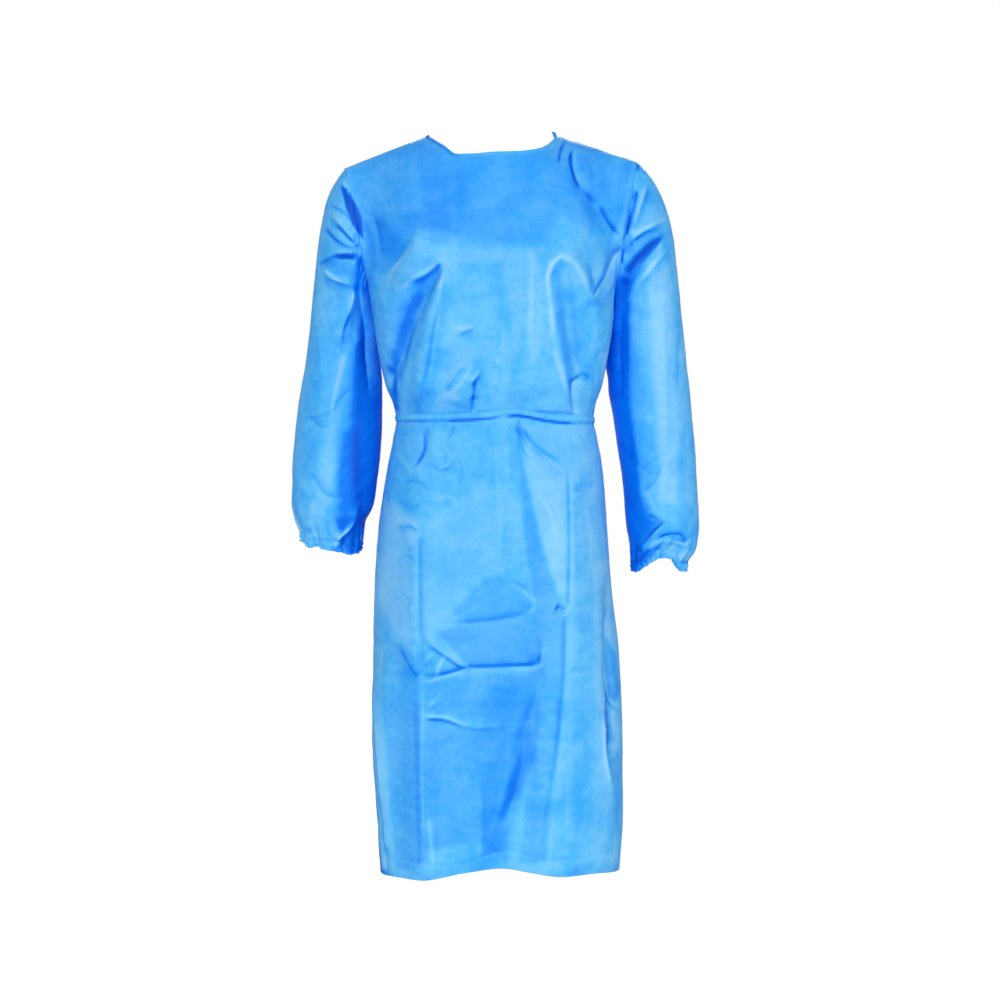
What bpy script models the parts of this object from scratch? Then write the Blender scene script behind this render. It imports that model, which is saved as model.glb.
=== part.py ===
"""Disposable patient gown in the shape it takes when worn, hollow, with no wearer.

The frame: the wearer faces -Y, +Z is up and +X is the wearer's left. The origin is midway
between the two points where the neck meets the shoulder seams, which is where the gown hangs.
Lengths are in metres and turns round the body in degrees: 0 is the centre front, 90 the
wearer's left side seam and 180 the centre back.
"""

from collections import defaultdict, namedtuple

import bmesh
import bpy
import numpy as np
from mathutils import Matrix

# Driving dimensions
cloth = 0.0012  # wall of every cloth panel
seam_gap = 0.0003  # space left between two pieces that are sewn together
hem_height = -1.130
armpit_height = -0.235
neck_point_right = 0.107  # across, from the origin to the inner end of the shoulder seam
neck_point_left = 0.100
outer_wrap = 20.0  # turn by which the left back panel passes the centre back
inner_wrap = 15.0  # and the right one, which lies under it
squareness = 2.5  # of the body's level sections: 2 is an ellipse, more is squarer

binding_width = 0.0065
binding_wall = 0.0022  # a tape folded over the edge
belt_width = 0.009
belt_wall = 0.0018
belt_height = -0.4432
tie_width = 0.010
tie_wall = 0.0012
cuff_width = 0.012
cuff_wall = 0.0016
cuff_pleat = 0.0022  # depth of the gathers that the elastic draws up

arm_turns = 24  # corners round a sleeve
shoulder_columns = 7  # of a panel, from the armhole to the neck point
yoke_rows = arm_turns // 2  # rows of a panel from the armpit up, so that both meet at the armhole
row_heights = (
    -1.130, -1.045, -0.940, -0.830, -0.720, -0.620, -0.540,
    -0.485, -0.458, -0.430, -0.400, -0.350, -0.295, armpit_height,
)

gown_blue = (0.055, 0.38, 0.93, 1.0)
trim_blue = (0.045, 0.33, 0.88, 1.0)

# Level sections of the body. right and left are half widths, front and back are reaches
# from the frame's XZ plane, and seam is where the side seam lies along Y.
Section = namedtuple("Section", "height right left front back seam")
body_sections = (
    Section(-1.150, 0.175, 0.193, 0.154, 0.150, -0.010),
    Section(-1.050, 0.181, 0.198, 0.156, 0.150, -0.010),
    Section(-0.930, 0.187, 0.198, 0.156, 0.149, -0.010),
    Section(-0.800, 0.187, 0.193, 0.154, 0.147, -0.009),
    Section(-0.700, 0.185, 0.184, 0.151, 0.144, -0.007),
    Section(-0.600, 0.178, 0.177, 0.146, 0.139, -0.006),
    Section(-0.520, 0.168, 0.169, 0.138, 0.130, -0.009),
    Section(-0.468, 0.158, 0.159, 0.129, 0.118, -0.015),
    Section(-0.443, 0.1515, 0.1545, 0.121, 0.108, -0.019),
    Section(-0.420, 0.155, 0.157, 0.129, 0.114, -0.023),
    Section(-0.390, 0.166, 0.165, 0.138, 0.121, -0.028),
    Section(-0.345, 0.176, 0.174, 0.140, 0.125, -0.032),
    Section(-0.300, 0.183, 0.181, 0.138, 0.126, -0.026),
    Section(-0.260, 0.190, 0.184, 0.136, 0.124, -0.008),
    Section(-0.235, 0.194, 0.187, 0.134, 0.122, 0.006),
)

# The hem's rise above its own height, along the front and along the back.
Hem = namedtuple("Hem", "across front back")
hem_line = (
    Hem(-0.190, 0.001, 0.001),
    Hem(-0.155, -0.001, 0.004),
    Hem(-0.108, -0.003, 0.007),
    Hem(-0.045, 0.009, 0.003),
    Hem(0.010, 0.015, 0.000),
    Hem(0.055, 0.009, 0.006),
    Hem(0.100, 0.003, 0.009),
    Hem(0.150, 0.004, 0.003),
    Hem(0.195, 0.000, 0.000),
)

# The neck edge, from the right neck point to the left one. across runs from -1 to 1 between
# the neck points, drop is down from the frame's origin and reach is along Y.
Neck = namedtuple("Neck", "across front_drop front_reach back_drop back_reach")
neck_edge = (
    Neck(-1.00, 0.006, 0.000, 0.006, 0.000),
    Neck(-0.88, 0.017, -0.026, 0.021, 0.022),
    Neck(-0.72, 0.030, -0.050, 0.036, 0.038),
    Neck(-0.56, 0.044, -0.067, 0.049, 0.048),
    Neck(-0.30, 0.045, -0.080, 0.057, 0.056),
    Neck(0.00, 0.043, -0.085, 0.060, 0.059),
    Neck(0.40, 0.041, -0.079, 0.056, 0.054),
    Neck(0.72, 0.034, -0.058, 0.042, 0.042),
    Neck(0.88, 0.023, -0.032, 0.024, 0.026),
    Neck(1.00, 0.005, 0.000, 0.005, 0.000),
)

# How far the left back panel stands off the right one where it laps over it.
Lap = namedtuple("Lap", "height lift")
lap = (
    Lap(-1.150, 0.0120),
    Lap(-0.850, 0.0090),
    Lap(-0.560, 0.0050),
    Lap(-0.443, 0.0034),
    Lap(-0.330, 0.0050),
    Lap(-0.150, 0.0052),
    Lap(0.000, 0.0048),
)

# Sleeve rings, each an oval between an outer and an inner point of the arm's outline.
Ring = namedtuple("Ring", "outer outer_height inner inner_height middle front back")
right_rings = (
    Ring(0.227, -0.052, 0.194, -0.235, 0.008, 0.052, 0.060),
    Ring(0.241, -0.068, 0.1970, -0.250, 0.014, 0.058, 0.063),
    Ring(0.259, -0.103, 0.1925, -0.274, 0.022, 0.062, 0.064),
    Ring(0.2715, -0.160, 0.1850, -0.302, 0.031, 0.062, 0.064),
    Ring(0.280, -0.235, 0.1790, -0.334, 0.036, 0.062, 0.064),
    Ring(0.290, -0.335, 0.1735, -0.384, 0.033, 0.062, 0.064),
    Ring(0.304, -0.430, 0.1730, -0.445, 0.018, 0.064, 0.064),
    Ring(0.311, -0.520, 0.1790, -0.530, 0.002, 0.063, 0.061),
    Ring(0.311, -0.565, 0.1875, -0.578, -0.006, 0.060, 0.056),
    Ring(0.306, -0.600, 0.198, -0.604, -0.012, 0.050, 0.046),
    Ring(0.298, -0.622, 0.201, -0.634, -0.015, 0.038, 0.036),
)
left_rings = (
    Ring(0.220, -0.044, 0.187, -0.235, 0.008, 0.052, 0.060),
    Ring(0.240, -0.064, 0.1890, -0.254, 0.014, 0.058, 0.063),
    Ring(0.262, -0.103, 0.1860, -0.276, 0.022, 0.062, 0.064),
    Ring(0.278, -0.160, 0.1820, -0.302, 0.031, 0.062, 0.064),
    Ring(0.287, -0.240, 0.1770, -0.334, 0.036, 0.062, 0.064),
    Ring(0.297, -0.340, 0.1770, -0.384, 0.033, 0.061, 0.063),
    Ring(0.306, -0.435, 0.186, -0.450, 0.018, 0.062, 0.062),
    Ring(0.312, -0.530, 0.198, -0.540, 0.002, 0.061, 0.060),
    Ring(0.3150, -0.600, 0.203, -0.602, -0.006, 0.060, 0.056),
    Ring(0.310, -0.640, 0.208, -0.636, -0.012, 0.052, 0.047),
    Ring(0.298, -0.660, 0.209, -0.660, -0.015, 0.040, 0.036),
)
sleeve_steps = (0.0, 0.6, 1.3, 2.1, 3.0, 4.0, 5.0, 6.0, 7.0, 8.0, 8.7, 9.4, 10.0)
cuff_arch = {"right": 0.002, "left": 0.021}  # rise of the cuff's front and back over its ends


# A ridge, or a trough where height is negative, along a path of (across, height) points.
Fold = namedtuple("Fold", "path width height")
front_folds = (
    # pressed packing folds down the skirt, and the hollows between them
    Fold(((-0.108, -0.47), (-0.110, -0.70), (-0.110, -0.95), (-0.108, -1.16)), 0.026, 0.015),
    Fold(((0.106, -0.47), (0.113, -0.70), (0.110, -0.95), (0.104, -1.16)), 0.027, 0.015),
    Fold(((0.040, -0.82), (0.030, -0.98), (0.010, -1.16)), 0.042, -0.016),
    Fold(((0.172, -0.66), (0.172, -0.80), (0.174, -0.93)), 0.014, -0.012),
    Fold(((-0.162, -0.78), (-0.164, -0.95), (-0.158, -1.16)), 0.018, 0.008),
    # folds that fall from the chest to the belt
    Fold(((-0.080, -0.197), (-0.106, -0.243), (-0.130, -0.290), (-0.158, -0.372)), 0.016, -0.012),
    Fold(((-0.077, -0.200), (-0.088, -0.270), (-0.104, -0.360), (-0.110, -0.425)), 0.017, 0.012),
    Fold(((-0.030, -0.330), (-0.048, -0.400), (-0.055, -0.425)), 0.020, 0.006),
    Fold(((0.105, -0.191), (0.086, -0.225), (0.088, -0.270), (0.110, -0.385)), 0.015, 0.011),
    Fold(((0.110, -0.245), (0.125, -0.300), (0.132, -0.380)), 0.020, -0.011),
    Fold(((0.180, -0.185), (0.164, -0.226), (0.146, -0.254), (0.120, -0.206)), 0.014, 0.008),
    Fold(((0.020, -0.340), (0.030, -0.425)), 0.022, 0.006),
    # the drag from the shoulder towards the armpit
    Fold(((-0.110, -0.130), (-0.150, -0.190), (-0.174, -0.225)), 0.018, -0.007),
    Fold(((0.118, -0.060), (0.150, -0.120), (0.185, -0.160)), 0.015, -0.005),
)
back_folds = (
    Fold(((-0.118, -0.46), (-0.128, -0.75), (-0.122, -1.16)), 0.028, 0.012),
    Fold(((0.112, -0.46), (0.126, -0.80), (0.128, -1.16)), 0.030, 0.012),
    Fold(((-0.045, -0.62), (-0.035, -0.90), (-0.045, -1.16)), 0.036, -0.014),
    Fold(((0.066, -0.190), (0.090, -0.300), (0.104, -0.425)), 0.018, 0.010),
    Fold(((-0.120, -0.180), (-0.110, -0.300), (-0.100, -0.425)), 0.018, 0.009),
    Fold(((0.130, -0.250), (0.140, -0.380)), 0.018, -0.008),
    Fold(((0.010, -0.260), (0.002, -0.425)), 0.022, -0.008),
)
# Folds on the front of each arm, with across measured out from the centre.
right_sleeve_folds = (
    Fold(((0.236, -0.085), (0.222, -0.130), (0.208, -0.172)), 0.016, -0.007),
    Fold(((0.262, -0.110), (0.238, -0.145), (0.212, -0.180)), 0.016, 0.005),
    Fold(((0.268, -0.192), (0.240, -0.190), (0.214, -0.194)), 0.016, -0.005),
    Fold(((0.270, -0.205), (0.245, -0.225), (0.218, -0.250), (0.205, -0.300)), 0.016, 0.008),
    Fold(((0.200, -0.300), (0.196, -0.430), (0.205, -0.560)), 0.016, -0.010),
)
left_sleeve_folds = (
    Fold(((0.262, -0.130), (0.236, -0.148), (0.214, -0.172)), 0.016, 0.005),
    Fold(((0.256, -0.155), (0.234, -0.184), (0.204, -0.216), (0.196, -0.260)), 0.019, -0.008),
    Fold(((0.270, -0.190), (0.240, -0.222), (0.215, -0.265)), 0.018, 0.006),
    Fold(((0.198, -0.300), (0.200, -0.430), (0.212, -0.560)), 0.016, -0.010),
)

# Knots on the centre back, and the free ends that hang from them as paths of (across, height).
Knot = namedtuple("Knot", "name height wide deep high lift")
knots = (
    Knot("waist_knot", belt_height, 0.026, 0.013, 0.016, belt_wall + 0.0011),
    Knot("neck_knot", -0.0665, 0.021, 0.011, 0.012, 0.0005),
)
Tail = namedtuple("Tail", "name knot path")
tails = (
    Tail("waist_tie_left", "waist_knot",
         ((0.0070, -0.4508), (0.015, -0.490), (0.021, -0.560), (0.020, -0.640), (0.026, -0.700))),
    Tail("waist_tie_right", "waist_knot",
         ((-0.0070, -0.4508), (-0.017, -0.485), (-0.025, -0.540), (-0.022, -0.610), (-0.027, -0.672))),
    Tail("neck_tie_left", "neck_knot",
         ((0.0068, -0.0722), (0.014, -0.095), (0.019, -0.135), (0.018, -0.190))),
    Tail("neck_tie_right", "neck_knot",
         ((-0.0068, -0.0722), (-0.015, -0.092), (-0.021, -0.130), (-0.019, -0.172))),
)


def smooth(steps, values, at):
    """Reads a curve through the table's points that never overshoots between them."""
    steps = np.asarray(steps, float)
    values = np.asarray(values, float)
    at = np.clip(at, steps[0], steps[-1])
    wide = np.diff(steps)
    rise = np.diff(values) / wide
    slope = np.zeros(len(values))
    same = rise[1:] * rise[:-1] > 0
    slope[1:-1][same] = 2 / (1 / rise[1:][same] + 1 / rise[:-1][same])
    slope[0], slope[-1] = rise[0], rise[-1]
    k = np.clip(np.searchsorted(steps, at) - 1, 0, len(rise) - 1)
    t = (at - steps[k]) / wide[k]
    start = (1 + 2 * t) * (1 - t) ** 2 * values[k] + t * (1 - t) ** 2 * wide[k] * slope[k]
    end = t**2 * (3 - 2 * t) * values[k + 1] + t**2 * (t - 1) * wide[k] * slope[k + 1]
    return start + end


def read(table, key, name, at):
    return smooth([getattr(row, key) for row in table], [getattr(row, name) for row in table], at)


def ease(value, start, end):
    """0 before start, 1 after end, and smooth between."""
    t = np.clip((value - start) / (end - start), 0, 1)
    return t * t * (3 - 2 * t)


def unit(vectors):
    return vectors / np.maximum(np.linalg.norm(vectors, axis=-1, keepdims=True), 1e-12)


def fold_height(folds, across, height):
    """How far the folds lift the cloth at each point of the front or back view."""
    total = np.zeros_like(across)
    for fold in folds:
        path = np.array(fold.path)
        nearest = np.full(across.shape, np.inf)
        along = np.zeros_like(across)
        for k, (a, b) in enumerate(zip(path, path[1:])):
            run = b - a
            t = ((across - a[0]) * run[0] + (height - a[1]) * run[1]) / (run @ run)
            t = np.clip(t, 0, 1)
            away = np.hypot(across - a[0] - t * run[0], height - a[1] - t * run[1])
            closer = away < nearest
            nearest = np.where(closer, away, nearest)
            along = np.where(closer, (k + t) / (len(path) - 1), along)
        ends = ease(along, -0.05, 0.25) * (1 - 0.5 * ease(along, 0.8, 1.1))
        total += fold.height * ends * np.exp(-((nearest / fold.width) ** 2))
    return total


def turn_of(side):
    """The turn from the centre front at which a section reaches this share of its half width."""
    return np.degrees(np.arctan2(side, (1 - abs(side) ** squareness) ** (1 / squareness)))


right_neck_turn = turn_of(neck_point_right / right_rings[0].outer)
left_neck_turn = turn_of(neck_point_left / left_rings[0].outer)


def top_edge(across, front):
    """(height, reach) of the neck edge and the shoulder seams, seen across the body."""
    right = across < 0
    neck = np.where(right, neck_point_right, neck_point_left)
    tip = np.where(right, right_rings[0].outer, left_rings[0].outer)
    tip_height = np.where(right, right_rings[0].outer_height, left_rings[0].outer_height)
    share = np.clip(across / neck, -1, 1)
    part = "front" if front else "back"
    height = -read(neck_edge, "across", part + "_drop", share)
    reach = read(neck_edge, "across", part + "_reach", share)
    out = np.clip((np.abs(across) - neck) / (tip - neck), 0, 1)
    return height + (tip_height - height) * out**1.25, reach + left_rings[0].middle * out


def armhole(rings, front, climb):
    """The front or back half of the armhole, from the armpit (climb 0) to the shoulder tip."""
    ring = rings[0]
    up = (1 - np.cos(np.pi * climb)) / 2
    bow = np.sin(np.pi * climb)
    across = ring.inner + (ring.outer - ring.inner) * up
    height = ring.inner_height + (ring.outer_height - ring.inner_height) * up
    reach = ring.middle + (-ring.front if front else ring.back) * bow
    return across, reach, height


def body_form(turn, level, front):
    """The smooth body. level is a height up to the armpits, then climbs from 0 to 1 above them."""
    angle = np.radians(turn)
    sine, cosine = np.sin(angle), np.cos(angle)
    norm = (np.abs(sine) ** squareness + np.abs(cosine) ** squareness) ** (1 / squareness)
    side, depth = sine / norm, np.abs(cosine) / norm
    right = side < 0

    # below the armpits: level sections
    height = np.minimum(level, armpit_height)
    half = np.where(
        right,
        read(body_sections, "height", "right", height),
        read(body_sections, "height", "left", height),
    )
    seam = read(body_sections, "height", "seam", height)
    ahead = read(body_sections, "height", "front" if front else "back", height)
    across = side * half
    reach = seam + ((-ahead if front else ahead) - seam) * depth
    hem = read(hem_line, "across", "front" if front else "back", across)
    height = height + hem * (1 - ease(height, hem_height, hem_height + 0.25))

    # above them: columns that spread out evenly and bend over the shoulder
    climb = np.where(level > armpit_height, level, 0)
    from_front = np.minimum(np.abs(turn), 180 - np.abs(turn))
    neck = np.where(right, right_neck_turn, left_neck_turn)
    tip = np.where(right, right_rings[0].outer, left_rings[0].outer)
    neck_side = np.where(right, neck_point_right, neck_point_left) / tip
    even = neck_side + (1 - neck_side) * (from_front - neck) / (90 - neck)
    spread = ease(climb, 0.0, 0.3) * (from_front > neck)
    side = side + np.sign(side) * (even - np.abs(side)) * spread
    top_height, top_reach = top_edge(side * tip, front)
    bend = np.radians(50 + 40 * ease(np.abs(side), 0.25, 0.60))
    arc = bend * climb
    rise = np.sin(arc) / np.sin(bend)
    lean = (np.cos(arc) - np.cos(bend)) / (1 - np.cos(bend))
    across = across + side * (tip - half) * climb
    height = height + (top_height - height) * rise
    reach = top_reach + (reach - top_reach) * lean

    # near the arm the columns turn into the armhole
    into = ease(np.abs(side), 0.55, 1.0) * (level > armpit_height)
    for rings, here in ((right_rings, right), (left_rings, ~right)):
        arm_across, arm_reach, arm_height = armhole(rings, front, climb)
        share = into * here
        across = across + (np.sign(side) * arm_across - across) * share
        reach = reach + (arm_reach - reach) * share
        height = height + (arm_height - height) * share
    return np.stack([across, reach, height], axis=-1)


class Cloth:
    """A grid of points on a piece's outer face, rows going up, with the ways into its wall."""

    def __init__(self, points, wall, closed=False):
        self.points, self.wall, self.closed = points, wall, closed
        self.outward = self.normals()

    def normals(self):
        points = self.points
        if self.closed:
            along = np.roll(points, -1, 1) - np.roll(points, 1, 1)
        else:
            along = np.gradient(points, axis=1)
        out = unit(np.cross(along, np.gradient(points, axis=0)))
        middle = points.mean(axis=1, keepdims=True)
        return out if np.sum((points - middle) * out) > 0 else -out

    def move(self, lift):
        """Moves the points out by lift, along the normals of the smooth form."""
        self.points = self.points + self.outward * lift[..., None]
        self.outward = self.normals()

    def faces_of_wall(self):
        """Outer and inner grids, drawn back by over half a gap along each sewn edge. A tube is
        drawn back a little more, because it meets the panels at an angle."""
        back = seam_gap * (1.0 if self.closed else 0.75)
        outer = self.points.copy()
        inner = outer - self.outward * self.wall
        for grid in (outer, inner):
            grid[0] += unit(grid[1] - grid[0]) * back
            grid[-1] += unit(grid[-2] - grid[-1]) * back
            if not self.closed:
                grid[:, 0] += unit(grid[:, 1] - grid[:, 0]) * back
                grid[:, -1] += unit(grid[:, -2] - grid[:, -1]) * back
        return outer, inner


def share_seams(cloths):
    """Gives the points that sewn edges have in common one way into the wall, so walls abut."""
    together = defaultdict(list)
    for piece in cloths:
        rows, columns = piece.points.shape[:2]
        for r in range(rows):
            for c in range(columns):
                together[tuple(np.round(piece.points[r, c], 6))].append((piece, r, c))
    for places in together.values():
        way = unit(sum(piece.outward[r, c] for piece, r, c in places))
        for piece, r, c in places:
            piece.outward[r, c] = way


def body_cloth(turns, front, lapped=False):
    levels = np.concatenate([row_heights, np.linspace(0, 1, yoke_rows + 1)[1:]])
    turn, level = np.meshgrid(turns, levels)
    piece = Cloth(body_form(turn, level, front), cloth)
    across, height = piece.points[..., 0], piece.points[..., 2]
    drape = fold_height(front_folds if front else back_folds, across, height)
    drape *= ease(np.abs(np.cos(np.radians(turn))), 0.02, 0.45)
    drape *= 1 - ease(np.abs(across), 0.152, 0.184) * ease(height, -0.32, -0.26)
    drape *= 1 - 0.85 * np.exp(-(((height - belt_height) / 0.020) ** 2))
    drape *= 1 - (level > armpit_height) * ease(level, 0.80, 1.0)
    if lapped:
        over = ease(turn, 180 - left_neck_turn, 180 - inner_wrap - 2)
        drape += read(lap, "height", "lift", height) * over
    piece.move(drape)
    return piece


def arm_cloth(rings, side, folds):
    """Turn 0 is the outer side of the arm, 90 its front. The last row is where the cuff begins."""
    turns = np.linspace(0, 2 * np.pi, arm_turns + 1)[:-1]
    turn, step = np.meshgrid(turns, sleeve_steps)
    ring = {name: smooth(range(len(rings)), [getattr(r, name) for r in rings], step) for name in Ring._fields}
    across = (ring["outer"] + ring["inner"]) / 2 + (ring["outer"] - ring["inner"]) / 2 * np.cos(turn)
    reach_up = (ring["outer_height"] - ring["inner_height"]) / 2
    height = (ring["outer_height"] + ring["inner_height"]) / 2 + reach_up * np.cos(turn)
    reach = ring["middle"] - np.where(np.sin(turn) > 0, ring["front"], ring["back"]) * np.sin(turn)
    near_cuff = ease(step, len(rings) - 3.5, len(rings) - 1)
    arch = cuff_arch["left" if side > 0 else "right"]
    points = np.stack([side * across, reach, height + arch * np.sin(turn) ** 2 * near_cuff], axis=-1)
    piece = Cloth(points, cloth, closed=True)
    drape = fold_height(folds, across, height) * ease(np.sin(turn), 0.0, 0.5) * ease(step, 0.0, 1.5)
    pleats = np.where(np.arange(arm_turns) % 2, -1, 1) * (1 + 0.35 * np.sin(5 * turns + side))
    drape += cuff_pleat * pleats * ease(step, len(rings) - 2.2, len(rings) - 1)
    piece.move(drape)
    return piece


def cuff_cloth(sleeve):
    """The elastic casing, which carries the sleeve's gathers straight down."""
    top = sleeve.points[-1]
    middle = top.mean(axis=0)
    drawn = unit((middle - top) * (1, 1, 0))
    rows = [top - (0, 0, cuff_width) + drawn * 0.002, top]
    return Cloth(np.stack(rows), cuff_wall, closed=True)


def material(name, colour, roughness):
    made = bpy.data.materials.new(name)
    made.use_nodes = True
    shader = made.node_tree.nodes["Principled BSDF"]
    shader.inputs["Base Color"].default_value = colour
    shader.inputs["Roughness"].default_value = roughness
    shader.inputs["Metallic"].default_value = 0.0
    return made


def loft(name, sections, look, collection, closed=False):
    """A strip's solid through a row of four-cornered sections. closed joins its ends."""
    rows, corners = sections.shape[:2]
    faces = [
        (r * corners + c, r * corners + (c + 1) % corners,
         (r + 1) % rows * corners + (c + 1) % corners, (r + 1) % rows * corners + c)
        for r in range(rows if closed else rows - 1)
        for c in range(corners)
    ]
    if not closed:
        faces += [tuple(range(corners)), tuple(range((rows - 1) * corners, rows * corners))]
    return add_mesh(name, sections.reshape(-1, 3), faces, look, collection)


def add_mesh(name, points, faces, look, collection):
    corners = [tuple(map(float, point)) for point in points]
    mesh = bpy.data.meshes.new(name)
    mesh.from_pydata(corners, [], [tuple(map(int, face)) for face in faces])
    mesh.materials.append(look)
    shape = bmesh.new()
    shape.from_mesh(mesh)
    bmesh.ops.recalc_face_normals(shape, faces=shape.faces)
    shape.to_mesh(mesh)
    shape.free()
    mesh.shade_smooth()
    mesh.set_sharp_from_angle(angle=np.radians(50))
    obj = bpy.data.objects.new(name, mesh)
    collection.objects.link(obj)
    return obj


def add_cloth(name, piece, look, collection):
    """A wall between the outer and the inner grid. Both are cut into triangles along the same
    diagonals, so that the wall keeps its thickness where the cloth twists."""
    outer, inner = piece.faces_of_wall()
    rows, columns = outer.shape[:2]
    under = rows * columns
    number = np.arange(under).reshape(rows, columns)
    faces = []
    for r in range(rows - 1):
        for c in range(columns if piece.closed else columns - 1):
            beside = (c + 1) % columns
            a, b, d, e = number[r, c], number[r, beside], number[r + 1, c], number[r + 1, beside]
            rising = np.linalg.norm(outer[r, c] - outer[r + 1, beside])
            falling = np.linalg.norm(outer[r, beside] - outer[r + 1, c])
            halves = ((a, b, e), (a, e, d)) if rising < falling else ((a, b, d), (b, e, d))
            for half in halves:
                faces += [half, tuple(under + corner for corner in half[::-1])]
    if piece.closed:
        rims = [list(number[0]), list(number[-1])]
    else:
        rims = [[*number[0], *number[1:, -1], *number[-1, -2::-1], *number[-2:0:-1, 0]]]
    for rim in rims:
        faces += [(a, b, under + b, under + a) for a, b in zip(rim, rim[1:] + rim[:1])]
    points = np.concatenate([outer, inner]).reshape(-1, 3)
    return add_mesh(name, points, faces, look, collection)


def on_column(piece, column, height):
    """The point of a panel's outer face at this height, and the level way out of it."""
    line = piece.points[:, column]
    below = len(row_heights)
    point = np.array([np.interp(height, line[:below, 2], line[:below, k]) for k in range(3)])
    row = int(np.argmin(np.abs(line[:below, 2] - height)))
    return point, unit(piece.outward[row, column] * (1, 1, 0))


def face_behind(back, across, height):
    """Reach of the lapped back panel's outer face, straight behind a point of the back view."""
    columns = [back.points[:, c] for c in range(shoulder_columns - 1, back.points.shape[1])]
    places = [[np.interp(height, line[:, 2], line[:, k]) for k in (0, 1)] for line in columns]
    places.sort(key=lambda place: place[0])
    return np.interp(across, [x for x, _ in places], [y for _, y in places])


def build_belt(front, left, right, turns, look, collection):
    """One strip round the waist, laid on the panels' own columns."""
    stops = [(front, c) for c in range(len(turns["front"]))]
    stops += [(left, c) for c in range(1, len(turns["left"]))]
    stops += [(right, c) for c, turn in enumerate(turns["right"]) if outer_wrap - 178 < turn < -90]
    sections = []
    for piece, column in stops:
        across = piece.points[len(row_heights) // 2, column, 0]
        rise = 0.011 * np.exp(-(((across - 0.012) / 0.045) ** 2)) if piece is front else 0
        middle = belt_height + rise
        low, out = on_column(piece, column, middle - belt_width / 2)
        high, _ = on_column(piece, column, middle + belt_width / 2)
        clear = 0.0007
        sections.append([low + out * clear, high + out * clear,
                         high + out * (clear + belt_wall), low + out * (clear + belt_wall)])
    loft("belt", np.array(sections), look, collection, closed=True)


def build_binding(front, left, right, look, collection):
    """A tape along the neck edge, from the left back panel round the front to the right one."""
    neck_right, neck_left = shoulder_columns - 1, front.points.shape[1] - shoulder_columns
    stops = [(left, c) for c in range(left.points.shape[1] - 1, shoulder_columns - 1, -1)]
    stops += [(front, c) for c in range(neck_left, neck_right - 1, -1)]
    stops += [(right, c) for c in range(right.points.shape[1] - shoulder_columns - 1, -1, -1)]
    edge = np.array([piece.points[-1, c] for piece, c in stops])
    out = np.array([piece.outward[-1, c] for piece, c in stops])
    edge -= out * cloth / 2
    along = unit(np.gradient(edge, axis=0))
    out = unit(out - along * np.sum(out * along, axis=1, keepdims=True))
    up = unit(np.cross(along, out))
    inward = unit((0, -0.01, 0) - edge * (1, 1, 0)) + (0, 0, 1)
    up *= np.sign(np.sum(up * inward, axis=1, keepdims=True))
    up = unit(up + (0, 0, 0.6))
    low, high = edge + up * seam_gap * 2.2, edge + up * (seam_gap * 2.2 + binding_width)
    half = out * binding_wall / 2
    sections = np.stack([low - half, high - half, high + half, low + half], axis=1)
    loft("neck_binding", sections, look, collection)


def build_knot(knot, back, look, collection):
    """A small pulled knot that lies against the centre back. Returns how far back its middle is."""
    offsets = np.linspace(-0.5, 0.5, 11) * knot.high
    bulge = knot.deep / 2 * np.sqrt(1 - (2 * offsets / knot.high) ** 2)
    face = np.array([face_behind(back, 0.0, knot.height + offset) for offset in offsets])
    reach = np.max(face + bulge) + knot.lift
    size = Matrix.Diagonal((knot.wide, knot.deep, knot.high, 1))
    place = Matrix.Translation((0, reach, knot.height)) @ size
    mesh = bpy.data.meshes.new(knot.name)
    shape = bmesh.new()
    bmesh.ops.create_uvsphere(shape, u_segments=12, v_segments=6, radius=0.5, matrix=place)
    shape.to_mesh(mesh)
    shape.free()
    mesh.materials.append(look)
    mesh.shade_smooth()
    collection.objects.link(bpy.data.objects.new(knot.name, mesh))
    return reach


def build_tail(tail, start, back, look, collection):
    """A tie's free end, which comes out of its knot and then lies on the back panel's own face."""
    count = 9
    steps = np.linspace(0, len(tail.path) - 1, count)
    across = smooth(range(len(tail.path)), [point[0] for point in tail.path], steps)
    height = smooth(range(len(tail.path)), [point[1] for point in tail.path], steps)
    edges = (-tie_width / 2, tie_width / 2)
    face = np.array([max(face_behind(back, x + edge, z) for edge in edges) for x, z in zip(across, height)])
    clear = 0.0014
    settled = ease(steps, 0.0, 1.3)
    reach = face + clear + (start - tie_wall / 2 - face[0] - clear) * (1 - settled)
    points = np.stack([across, reach, height], axis=1)
    along = unit(np.gradient(points, axis=0))
    sway = 0.14 * np.sin(steps * 2.1)[:, None] * settled[:, None]
    wide = unit(np.array([1.0, 0, 0]) + np.array([0, 1.0, 0]) * sway)
    wide = unit(wide - along * np.sum(wide * along, axis=1, keepdims=True))
    out = unit(np.cross(wide, along))
    out = out * np.sign(out[:, 1:2])
    low, high = points - wide * tie_width / 2, points + wide * tie_width / 2
    sections = np.stack([low, high, high + out * tie_wall, low + out * tie_wall], axis=1)
    loft(tail.name, sections, look, collection)


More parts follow.
